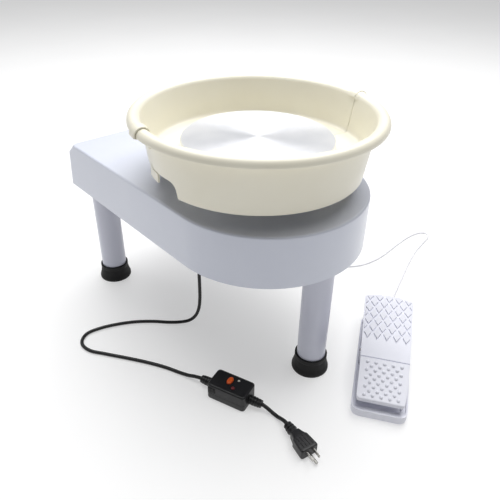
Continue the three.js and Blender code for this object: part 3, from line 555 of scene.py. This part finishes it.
def housing_solid():
    rings = [housing_ring(HOUSING_HIGH - HOUSING_WALL, HOUSING_WALL, 2 * HOUSING_WALL)]
    rings += [housing_ring(z, HOUSING_WALL) for z in (BEVEL_FROM, HOUSING_LOW + 0.4)]
    rings += [housing_ring(HOUSING_LOW, 2.5), housing_ring(HOUSING_LOW, 0.5)]
    rings += [housing_ring(z, 0) for z in (HOUSING_LOW + 0.5, 260, 292, 295, BEVEL_FROM, 299, 303, 308)]
    for i in range(9):
        turn = math.radians(90 * i / 8)
        height = HOUSING_HIGH - EDGE + EDGE * math.sin(turn)
        rings.append(housing_ring(height, EDGE * (1 - math.cos(turn)), 0))
    rings.append(housing_ring(HOUSING_HIGH, EDGE + 0.6, 0.8))
    return loft(rings)


TURRET_TOP = 369.2
TURRET = lathe(eased([
    (0, 312), (97.5, 312), (97.5, 316), (100, 316), (100, TURRET_TOP, 2.5), (0, TURRET_TOP)], 0.01, 4), 120)
TURRET_INSIDE = lathe([(0, 305), (96.5, 305), (96.5, 366), (0, 366)], 120)
SHAFT_HOLE = lathe([(0, 360), (30, 360), (30, 375), (0, 375)], 64)
CABLE_HOLE = moved(lathe([(0, 160), (5.3, 160), (5.3, 180), (0, 180)], 40),
                   Matrix.Translation((CABLE_EXIT_X, 0, CABLE_EXIT_Z)) @ Z_TO_Y)
SWITCH_HOLE = block(-309.3, -290.7, 163, 176, 257.7, 286.3)
finished("housing_shell", housing_solid(), "shell_white", "machine", ["housing_shell"], joins=[TURRET],
         cuts=[TURRET_INSIDE, SHAFT_HOLE, CABLE_HOLE, SWITCH_HOLE], bevel=0.5, crease=33)

# ---- basin: two halves that plug into each other at the seam ----
WALL, SKIRT_LOW, FLOOR_UNDER, FLOOR_TOP = 2.9, 343, 369.5, 372.5
LIP_R, LIP_Z, LIP_OUT, LIP_IN = 194, 429.3, 10.6, 8.2
SEAM = 0.4
SKIRT_R, WALL_SPREAD, WALL_RISE = 173, 12.5, 85
BASIN_STEPS = 132


def wall_outer(z):
    """The outer radius of the flaring wall at one height."""
    return SKIRT_R + (z - SKIRT_LOW) * WALL_SPREAD / WALL_RISE


def lip(radius, start, stop, steps):
    """An arc round the middle of the rolled lip, from one angle to another."""
    turns = [math.radians(start + (stop - start) * i / steps) for i in range(steps + 1)]
    return [(LIP_R + radius * math.cos(t), LIP_Z + radius * math.sin(t)) for t in turns]


def lip_end(start):
    """The rounded free edge of the rolled lip."""
    steps = 6
    middle, size = (LIP_OUT + LIP_IN) / 2, (LIP_OUT - LIP_IN) / 2
    aim = math.radians(start)
    x, z = LIP_R + middle * math.cos(aim), LIP_Z + middle * math.sin(aim)
    turns = [aim + math.pi + math.pi * i / steps for i in range(1, steps)]
    return [(x + size * math.cos(t), z + size * math.sin(t)) for t in turns]


def basin_profile():
    """The section of a basin half: skirt, wall, lip, bowl, floor and the raised edge round its hole."""
    inner = [(wall_outer(z) - WALL, z) for z in (FLOOR_UNDER, 356)]
    foot = [(wall_outer(SKIRT_LOW) - WALL, SKIRT_LOW, 1), (wall_outer(SKIRT_LOW), SKIRT_LOW, 1)]
    skirt = eased([inner[-1], *foot, (wall_outer(356), 356)], 0.9, 3)
    outer = [(wall_outer(z), z) for z in (369, 382, 395, 408, 420)]
    roll = lip(LIP_IN, 176, -5, 18) + lip_end(-5) + lip(LIP_OUT, -5, 176, 28)
    bowl = [(wall_outer(z) - WALL, z) for z in (420, 408, 396)]
    corner = (wall_outer(FLOOR_TOP) - WALL, FLOOR_TOP, 10)
    bowl += eased([(wall_outer(388) - WALL, 388), corner, (155, FLOOR_TOP)], 9, 8)
    hole = eased([
        (60, FLOOR_TOP), (38.5, FLOOR_TOP, 1.2), (38.5, 375.5, 1), (36, 375.5, 1), (36, FLOOR_UNDER)], 1, 3)
    return [inner[0], *skirt, *outer, *roll, *bowl, *hole]


def basin_half():
    """The profile swung through half a turn, with its edges eased where it meets the other half."""
    rows = [Vector(p) for p in basin_profile()]
    count = len(rows)
    inward = []
    for k in range(count):
        along = (rows[(k + 1) % count] - rows[k - 1]).normalized()
        inward.append(Vector((-along.y, along.x)))
    width = BASIN_STEPS + 5
    points, faces = [], []
    for k, row in enumerate(rows):
        for i in range(width):
            edge = min(i, width - 1 - i)
            inset, start = ((0.6, SEAM), (0.2, SEAM + 0.25))[edge] if edge < 2 else (0, SEAM + 0.9)
            radius, z = row + inward[k] * inset
            turn = math.acos(start / radius)
            if edge >= 2:
                turn = -turn + 2 * turn * (i - 2) / BASIN_STEPS
            elif i < 2:
                turn = -turn
            points.append((radius * math.cos(turn), radius * math.sin(turn), z))
    for k in range(count):
        m = (k + 1) % count
        for i in range(width - 1):
            faces.append((k * width + i, k * width + i + 1, m * width + i + 1, m * width + i))
    for edge in (0, width - 1):
        faces.append(tuple(k * width + edge for k in range(count)))
    return points, faces


def about_spindle(section, x):
    """A section in radius and height, set upright at a distance along the seam's normal."""
    turn = math.pi / 2 - x / LIP_R
    return [(r * math.cos(turn), r * math.sin(turn), z) for r, z in section]


def collar_passing():
    """Reaches past the seam over the other half: up its wall, under its lip and over it."""
    rings = []
    for x, shave in ((-18, 0.9), (-17.7, 0.35), (-17, 0), (-14, 0), (-10, 0), (-5, 0), (0, 0), (1, 0),
                     (1.5, 0)):
        out, inside = 3.4 - shave, 0.8 + shave * 0.3
        loop = [(wall_outer(z) + out, z) for z in (408, 420)]
        loop += lip(LIP_OUT + out, -8, 160, 22)
        loop += lip(LIP_OUT + inside, 160, -8, 22)
        loop += [(wall_outer(z) + inside, z) for z in (424, 408)]
        rings.append(about_spindle(loop, x))
    return loft(rings)


def collar_own():
    """The swelling of a half's own lip, which dies away from the seam."""
    rings = []
    for step in range(17):
        x = 0.6 + step
        fade = (1 + math.cos(math.pi * min(step / 15, 1))) / 2
        loop = lip(LIP_OUT + 2.6 * fade - 0.25, -4, 172, 24) + lip(LIP_OUT - 0.9, 172, -4, 24)
        rings.append(about_spindle(loop, x))
    return loft(rings)


def ring_part(outer, inner, z0, z1, x0, x1):
    """A piece of a ring about the spindle, between two distances from the seam, at its +Y end."""
    turns = [math.acos((x0 + (x1 - x0) * i / 12) / outer) for i in range(13)]
    arc = [(outer * math.cos(t), outer * math.sin(t)) for t in turns]
    arc += [(inner * math.cos(t), inner * math.sin(t)) for t in reversed(turns)]
    return prism(arc, z0, z1)


ARCHWAY = moved(prism(rectangle(-62, 62, 315, FLOOR_UNDER, 14, 10), -210, 210),
                Matrix.Rotation(math.pi / 2, 4, "X"))
TONGUE = together(ring_part(177.5, 174, 353, 371, 0.4, 15), ring_part(177.5, 174, 353, 368.8, -18, 1.5))
for side, turn, body in (("front", HERE, "front_basin"), ("rear", HALF_TURN, "rear_basin")):
    node = "basin_" + side
    socket = node + "_socket"
    where = BASIN @ turn
    finished(node, basin_half(), "basin_cream", body, [node], where, cuts=[ARCHWAY], crease=30)
    finished(node + "_tongue", TONGUE, "basin_cream", body, (), where, bevel=0.5, crease=30)
    finished(socket, collar_passing(), "basin_cream", body, [socket], where, crease=40)
    finished(node + "_swelling", collar_own(), "basin_cream", body, (), where, crease=50)

# ---- foot pedal ----
PIVOT_Y, PIVOT_Z = 5, 32
TREAD_HALF, TREAD_HEEL, TREAD_TOE = 43, -112, 143
TOE_BULGE = 11
TREAD_WIDTHS = (0.91, 1.09)
TRAY_WIDTHS = (0.95, 1.0)
DIAMOND_ACROSS, DIAMOND_ALONG, DIAMOND_SHARE = 17.0, 38.8, 0.75
DOT_ACROSS, DOT_ALONG = 15.0, 7.2
DOT = lathe([(0, 1.9), (1.7, 1.65), (2.8, 1.0), (3.3, 0.2), (3.4, -0.5), (0, -0.5)], 24)
SMALLEST_DIAMOND = 14
WHOLE_DOT = 16.7


def tread_top(y):
    """The height of the tread: nearly flat under the toes, falling under the heel."""
    return 58 - (y + 40) * 6 / 183 if y > -40 else 58 + (y + 40) / 3


def clipped(polygon, region):
    """The part of a polygon inside a convex region whose points run anticlockwise."""
    for i in range(len(region)):
        a, b = Vector(region[i - 1]), Vector(region[i])
        inward = Vector((a.y - b.y, b.x - a.x))
        kept = []
        for j in range(len(polygon)):
            p, q = Vector(polygon[j - 1]), Vector(polygon[j])
            hp, hq = (p - a).dot(inward), (q - a).dot(inward)
            if (hp > 0) != (hq > 0):
                kept.append(tuple(p + (q - p) * hp / (hp - hq)))
            if hq > 0:
                kept.append(tuple(q))
        polygon = kept
        if not polygon:
            break
    return polygon


def area(polygon):
    """The area of a plan outline, positive when its points run anticlockwise."""
    total = 0
    for i in range(len(polygon)):
        (ax, ay), (bx, by) = polygon[i - 1], polygon[i]
        total += ax * by - bx * ay
    return total / 2


def toe_outline(half, heel, toe):
    """A plan outline whose toe end bows forward."""
    steps = [1 - i / 8 for i in range(17)]
    arc = [(half * t, toe + TOE_BULGE * (1 - t * t), 7 if abs(t) == 1 else 0) for t in steps]
    return eased([(-half, heel, 9), (half, heel, 9), *arc], 0, 6, closed=True)


def widening(solid, shares):
    """A part of the pedal with its width scaled by one share at the heel and another at the toe."""
    heel, toe = shares
    length = TREAD_TOE - TREAD_HEEL
    return [(x * (heel + (toe - heel) * (y - TREAD_HEEL) / length), y, z) for x, y, z in solid[0]], solid[1]


def diamond(outline):
    """A raised pad on the tread, with its top edge eased."""
    middle = sum((Vector(p) for p in outline), Vector((0, 0))) / len(outline)
    rings = []
    for share, height in ((1.0, -0.7), (0.99, 1.7), (0.95, 2.4), (0.88, 2.6)):
        ring = [middle + (Vector(p) - middle) * share for p in outline]
        rings.append([(p.x, p.y, tread_top(p.y) + height) for p in ring])
    return loft(rings)


def tread_relief():
    """The diamonds under the toes and the dots under the heel."""
    region = toe_outline(40.4, 10, 140.6)
    reliefs = []
    for row in range(9):
        for column in range(-3, 4):
            x = DIAMOND_ACROSS * (column + 0.5 * (row % 2))
            y = 66.6 + DIAMOND_ALONG / 2 * (row - 2)
            a, b = DIAMOND_ACROSS / 2 * DIAMOND_SHARE, DIAMOND_ALONG / 2 * DIAMOND_SHARE
            outline = clipped([(x + a, y), (x, y + b), (x - a, y), (x, y - b)], region)
            if len(outline) > 2 and area(outline) > SMALLEST_DIAMOND:
                reliefs.append(diamond(outline))
    heel = rectangle(-39.5, 39.5, -108.5, -41, 13)
    for row in range(10):
        for column in range(-3, 4):
            x = DOT_ACROSS * (column + 0.5 * (row % 2))
            y = -46.5 - DOT_ALONG * row
            near = clipped([(x + 2.9, y), (x, y + 2.9), (x - 2.9, y), (x, y - 2.9)], heel)
            if len(near) != 4 or area(near) < WHOLE_DOT:
                continue
            lean = Matrix.Translation((x, y, tread_top(y))) @ Matrix.Rotation(math.atan(1 / 3), 4, "X")
            reliefs.append(moved(DOT, lean))
    return together(*reliefs)


def tread_side():
    """The side outline in Y and Z: toe part, hollow band, crease and heel part."""
    band = []
    for i in range(13):
        share = i / 12
        band.append((21 - 57 * share, tread_top(21 - 57 * share) - 1.5 * math.sin(math.pi * share)))
    top = [(154, tread_top(154), 2.5), (22, tread_top(22), 0)] + [(y, z, 0) for y, z in band]
    top += [(-36.4, 55.8, 0), (-38.2, 55.8, 0), (-38.8, 58.2, 0.5), (-112, 34, 3)]
    return eased([(-112, 26.5, 2), (-40, 50, 10), (154, 43.6, 2.5), *top], 0, 4, closed=True)


def webs():
    """Three ribs under the tread, each with a round boss about the hinge pin."""
    out = []
    for x0, x1, radius in ((-36, -32, 8), (32, 36, 8), (12, 17, 16)):
        out.append(block(x0, x1, PIVOT_Y - 7, PIVOT_Y + 7, PIVOT_Z, 51))
        out.append(rod(radius, x0, x1, PIVOT_Y, PIVOT_Z, 48, 0.3))
    return out


TREAD_PLAN = prism(toe_outline(TREAD_HALF, TREAD_HEEL, TREAD_TOE), 0, 100)
TREAD = along_x(tread_side(), -TREAD_HALF, TREAD_HALF)
finished("pedal_tread", widening(TREAD, TREAD_WIDTHS), "pedal_white", "tread", ["pedal_tread"], PEDAL,
         keeps=[widening(TREAD_PLAN, TREAD_WIDTHS)], bevel=0.9, bevel_steps=3, crease=35)
finished("pedal_tread_relief", widening(tread_relief(), TREAD_WIDTHS), "pedal_white", "tread", (), PEDAL,
         crease=28)
finished("pedal_tread_webs", together(*webs()), "pedal_white", "tread", (), PEDAL, crease=35)


def cheek(x0):
    """One of the two lugs in the tray that hold the hinge pin."""
    top = PIVOT_Z + 6
    outline = eased([
        (PIVOT_Y - 16, 5, 0), (PIVOT_Y + 16, 5, 0), (PIVOT_Y + 16, 19, 2), (PIVOT_Y + 7, top, 6),
        (PIVOT_Y - 7, top, 6), (PIVOT_Y - 16, 19, 2)], 2, 5, closed=True)
    return along_x(outline, x0, x0 + 4)


TRAY = prism(rectangle(-48, 48, -122, 120, 18, 10), 3, 17)
TRAY_LEDGE = prism(rectangle(-45, 45, -119, 117, 15, 10), 13, 30)
TRAY_WELL = prism(rectangle(-36.5, 36.5, -106, 108, 9, 8), 6, 30)
PEDAL_CABLE_HOLE = moved(lathe([(0, 0), (3.3, 0), (3.3, 20), (0, 20)], 32),
                         Matrix.Translation((0, 108, PEDAL_CORD_Z)) @ Z_TO_Y)
PEDAL_RELIEF = lathe(eased([
    (0, 0), (5, 0), (5, 2.5), (2.9, 2.5), (2.9, 6), (5, 6), (4.4, 8.5), (2.9, 23), (0, 23)], 0.5, 3), 40)
finished("pedal_base", widening(TRAY, TRAY_WIDTHS), "pedal_white", "machine", ["pedal_base"], PEDAL,
         cuts=[widening(TRAY_LEDGE, TRAY_WIDTHS), TRAY_WELL, PEDAL_CABLE_HOLE], bevel=1.2, bevel_steps=3,
         crease=35)
finished("pedal_cheeks", together(cheek(-42), cheek(38)), "pedal_white", "machine", (), PEDAL, bevel=0.5,
         crease=35)
finished("pedal_relief", moved(PEDAL_RELIEF, Matrix.Translation((0, 114.2, PEDAL_CORD_Z)) @ Z_TO_Y),
         "pedal_white", "machine", ["pedal_relief"], PEDAL)

# ---- in-line safety box ----
TEST_X, TEST_Y, RESET_X, RESET_Y, LAMP_X, LAMP_Y = -4, 4, 8, -8, 9, 11
BOX_HALF_LENGTH, BOX_HALF_WIDTH, BOX_CORNER = 36, 21, 7
BOX_NECKS = [rod(4.3, -50, -20, 0, BOX_AXIS_Z), rod(4.3, 20, 50, 0, BOX_AXIS_Z)]


def box_outline(inset):
    along, across = BOX_HALF_LENGTH - inset, BOX_HALF_WIDTH - inset
    return rectangle(-along, along, -across, across, BOX_CORNER - inset, 8)


def ring_of(outline, z):
    return [(x, y, z) for x, y in outline]


def box_shell(levels):
    """A shell from (height, inset) levels, between its inside and its outside."""
    return loft([ring_of(box_outline(inset), z) for z, inset in levels])


lower = box_shell([(3, 3), (12.8, 3), (12.8, 0.2), (12.4, 0), (2.4, 0), (0.7, 0.7), (0, 2.2)])
upper = box_shell([(28.5, 3), (13.2, 3), (13.2, 0.2), (13.6, 0), (29.2, 0), (30.4, 0.5), (31.6, 2.2),
                   (32, 4)])
ribs = [block(-32 + 2.8 * i, -30.6 + 2.8 * i, -22.3, -20, 16, 26.4) for i in range(5)]
dimples = [prism(ellipse(TEST_X, TEST_Y, 6.4, 9.4), 31.3, 40),
           prism(ellipse(RESET_X, RESET_Y, 4.4, 4.4, 32), 31.5, 40)]
wells = [prism(ellipse(TEST_X, TEST_Y, 5.4, 8.4), 20, 40),
         prism(ellipse(RESET_X, RESET_Y, 3.8, 3.8, 32), 20, 40),
         prism(ellipse(LAMP_X, LAMP_Y, 2.6, 2.6, 24), 20, 40)]
box_pieces = [
    finished("box_lower", lower, "black_plastic", "machine", ["box_lower"], BOX, cuts=BOX_NECKS, crease=50),
    finished("box_upper", upper, "black_plastic", "machine", ["box_upper"], BOX, joins=ribs,
             cuts=BOX_NECKS + dimples + wells, bevel=0.25, crease=40),
]


def button(name, x, y, a, b, crown, slot, body):
    """A capped button: a flange under the roof, straight sides, and a crowned top."""
    levels = [(27.0, 1.2), (28.2, 1.2), (28.2, 0), (crown - 1.2, 0), (crown - 0.5, -0.35),
              (crown - 0.1, -1.2), (crown, -2.4)]
    rings = [ring_of(ellipse(x, y, a + grow, b + grow, 48), z) for z, grow in levels]
    return finished(name, loft(rings), slot, body, [name], BOX, crease=50)


LAMP = lathe([(0, 22), (2.2, 22), (2.2, 31.6), (1.9, 32.4), (1.1, 32.9), (0, 33)], 32)
box_pieces += [
    button("test_button", TEST_X, TEST_Y, 5, 8, 34, "button_orange", "test_button_cap"),
    button("reset_button", RESET_X, RESET_Y, 3.4, 3.4, 33.2, "button_red", "reset_button_cap"),
    finished("power_led", moved(LAMP, Matrix.Translation((LAMP_X, LAMP_Y, 0))), "lens_white", "machine",
             ["power_led"], BOX, crease=50),
]
BOX_RELIEF = eased([
    (0, 0), (6.2, 0), (6.2, 1.8), (4.1, 1.8), (4.1, 4.9), (8, 4.9), (8, 8.6), (6.8, 9), (6.8, 10), (8, 10.4),
    (8, 13.6), (6.8, 14), (6.8, 15), (7.8, 15.4), (7.8, 18.6), (6.6, 19), (6.6, 20), (7.4, 20.4), (7.4, 23.4),
    (6.2, 23.8), (6.2, 24.6), (6.9, 25), (6.7, 27), (3.6, 28), (0, 28)], 0.3, 3)
for side, turn in (("plug", HERE), ("wheel", HALF_TURN)):
    node = f"box_relief_{side}_side"
    box_pieces.append(finished(node, lying(lathe(BOX_RELIEF, 40), 31.2, 0, BOX_AXIS_Z), "black_plastic",
                               "machine", [node], BOX @ turn))

# ---- mains plug, along +X from the lead ----
PLUG_FRONT = 62
PLUG_SLICES = ((21, 6.6, 7.6), (22, 8.2, 8.6), (30, 10.2, 9.6), (33.4, 11.4, 10), (36, 13.6, 10),
               (47, 14.6, 10), (58.6, 15.4, 10), (60.6, 15.1, 9.7), (61.7, 14.2, 8.9), (PLUG_FRONT, 13, 7.8))
BLADE_LOW, BLADE_WIDTH, BLADE_LENGTH, BLADE_THICK, BLADE_APART = PLUG_AXIS_Z - 0.5, 6.4, 16, 1.5, 12.7
BLADE_ROOT = PLUG_FRONT - 9


def plug_moulding():
    """Slices across the plug, each a rounded rectangle."""
    rings = []
    for x, half, rise in PLUG_SLICES:
        outline = rectangle(-half, half, -rise, rise, 4.2, 6)
        rings.append([(x, a, PLUG_AXIS_Z + b) for a, b in outline])
    return loft(rings)


PLUG_RELIEF = eased([
    (0, 0), (4.4, 0), (5.2, 2), (7.2, 2.4), (7.2, 5), (5.6, 5.4), (5.6, 7.4), (8, 7.8), (8, 10.6), (6.4, 11),
    (6.4, 13), (8.6, 13.4), (8.6, 16.4), (7.4, 16.8), (7.4, 25), (0, 25)], 0.6, 3)
grooves = [block(37, 57, y - 0.8, y + 0.8, PLUG_AXIS_Z + 9.3, 24) for y in (-8.4, -2.8, 2.8, 8.4)]


def blade(y):
    low, high, tip = BLADE_LOW, BLADE_LOW + BLADE_WIDTH, PLUG_FRONT + BLADE_LENGTH
    outline = eased([(BLADE_ROOT, low, 0), (tip, low, 2.2), (tip, high, 2.2), (BLADE_ROOT, high, 0)], 0, 6,
                    closed=True)
    return along_y(outline, y - BLADE_THICK / 2, y + BLADE_THICK / 2)


def blade_hole(y):
    return along_y(ellipse(PLUG_FRONT + 11.5, BLADE_LOW + BLADE_WIDTH / 2, 1.6, 1.6, 24), y - 3, y + 3)


plug_pieces = [finished("plug_body", plug_moulding(), "black_plastic", "machine", ["plug_body"], PLUG,
                        joins=[lying(lathe(PLUG_RELIEF, 40), 0, 0, PLUG_AXIS_Z)], cuts=grooves, bevel=0.3,
                        crease=38)]
for node, y in (("plug_blade_near", -BLADE_APART / 2), ("plug_blade_far", BLADE_APART / 2)):
    plug_pieces.append(finished(node, blade(y), "bright_steel", "machine", [node], PLUG, cuts=[blade_hole(y)],
                                bevel=0.2, crease=40))
ground_pin = lathe(eased([(0, 0), (2.4, 0, 0), (2.4, 28, 2.2), (0, 28)], 1, 8), 32)
plug_pieces.append(finished("plug_ground_pin", lying(ground_pin, BLADE_ROOT, 0, PLUG_AXIS_Z - 5),
                            "bright_steel", "machine", ["plug_ground_pin"], PLUG))

# ---- glands and switch ----
MAINS_GLAND = lathe(eased([
    (0, 196), (4.2, 196), (6.6, 227.2, 0), (11, 227.2), (11, 230.2), (6.9, 230.2), (6.9, 237), (0, 237)],
    0.5, 3), 40)
finished("mains_gland", MAINS_GLAND, "black_plastic", "machine", ["mains_gland"],
         place(MAINS_EXIT_X, MAINS_EXIT_Y, 0), crease=45)
CABLE_GLAND = lathe(eased([
    (0, 0), (4.9, 0), (4.9, 9), (8, 9), (8, 11.5), (4.4, 11.5), (2.9, 29), (0, 29)], 0.5, 3), 40)
finished("pedal_cable_gland",
         moved(CABLE_GLAND, Matrix.Translation((CABLE_EXIT_X, 162.3, CABLE_EXIT_Z)) @ Z_TO_Y),
         "shell_white", "machine", ["pedal_cable_gland"], crease=45)
finished("switch_case", along_y(rectangle(-311, -289, 256, 288, 2, 5), 171.3, 173.3), "black_plastic",
         "machine", ["switch_case"], joins=[block(-309, -291, 150, 172, 258, 286)],
         cuts=[block(-307.5, -292.5, 152, 180, 259.7, 284.3)], bevel=0.4, crease=40)
rocker = eased([(-9, 8, 1), (0, 5.6, 6), (9, 8, 1), (9, 2, 0.5), (5, -6, 0.5), (-5, -6, 0.5), (-9, 2, 0.5)],
               1, 4, closed=True)
finished("switch_rocker", along_x([(167.3 + y, 272 + z) for z, y in rocker], -307.1, -292.9),
         "black_plastic", "direction_rocker", ["switch_rocker"], bevel=0.3, crease=40)

# ---- finishes of the CAD nodes, and soft shading on those that stay ----
WELD_REACH = 0.00002
SPLIT_ANGLE = math.radians(32)
SLOT_OF = {part["node"]: part["material_slot"] for part in frame["record"]["subparts"]}
for node, item in frame["nodes"].items():
    item.data.materials.clear()
    item.data.materials.append(LOOKS[SLOT_OF[node]])
    if not item.hide_render:
        for kind, name in (("WELD", "weld"), ("EDGE_SPLIT", "split")):
            item.modifiers.new(name, kind)
        item.modifiers["weld"].merge_threshold = WELD_REACH
        item.modifiers["split"].split_angle = SPLIT_ANGLE


# ---- floor, light and world ----
FLOOR_HALF = 15


def add_floor():
    half = FLOOR_HALF
    corners = [(-half, -half, 0), (half, -half, 0), (half, half, 0), (-half, half, 0)]
    mesh = bpy.data.meshes.new("floor")
    mesh.from_pydata(corners, [], [(0, 1, 2, 3)])
    floor = bpy.data.objects.new("floor", mesh)
    bpy.context.scene.collection.objects.link(floor)
    n = Nodes("floor_white")
    n.into("Base Color", n.ramp(n.noise(3, 2), (0.3, (0.56, 0.56, 0.56, 1)), (0.7, (0.58, 0.58, 0.58, 1))))
    n.into("Roughness", 0.7)
    n.into("Emission Color", (1, 1, 1, 1))
    n.into("Emission Strength", 0.45)
    mesh.materials.append(n.material)


def add_light(name, size, energy, spot, aim):
    """A soft rectangular light that faces a point."""
    data = bpy.data.lights.new(name, "AREA")
    data.shape = "RECTANGLE"
    data.size, data.size_y = size
    data.energy = energy
    light = bpy.data.objects.new(name, data)
    bpy.context.scene.collection.objects.link(light)
    light.location = spot
    light.rotation_euler = (Vector(aim) - Vector(spot)).to_track_quat("-Z", "Y").to_euler()


add_floor()
add_light("overhead", (3.0, 3.0), 112, (-0.5, 0.6, 2.5), (0, 0, 0.2))
add_light("left", (0.8, 1.6), 3, (-1.9, -1.2, 1.0), (0, 0, 0.25))

world = bpy.data.worlds.new("studio")
world.use_nodes = True
world.node_tree.nodes["Background"].inputs["Color"].default_value = (0.96, 0.97, 1.0, 1)
world.node_tree.nodes["Background"].inputs["Strength"].default_value = 0.17
bpy.context.scene.world = world
bpy.context.scene.view_settings.view_transform = "Standard"

bpy.context.view_layer.update()
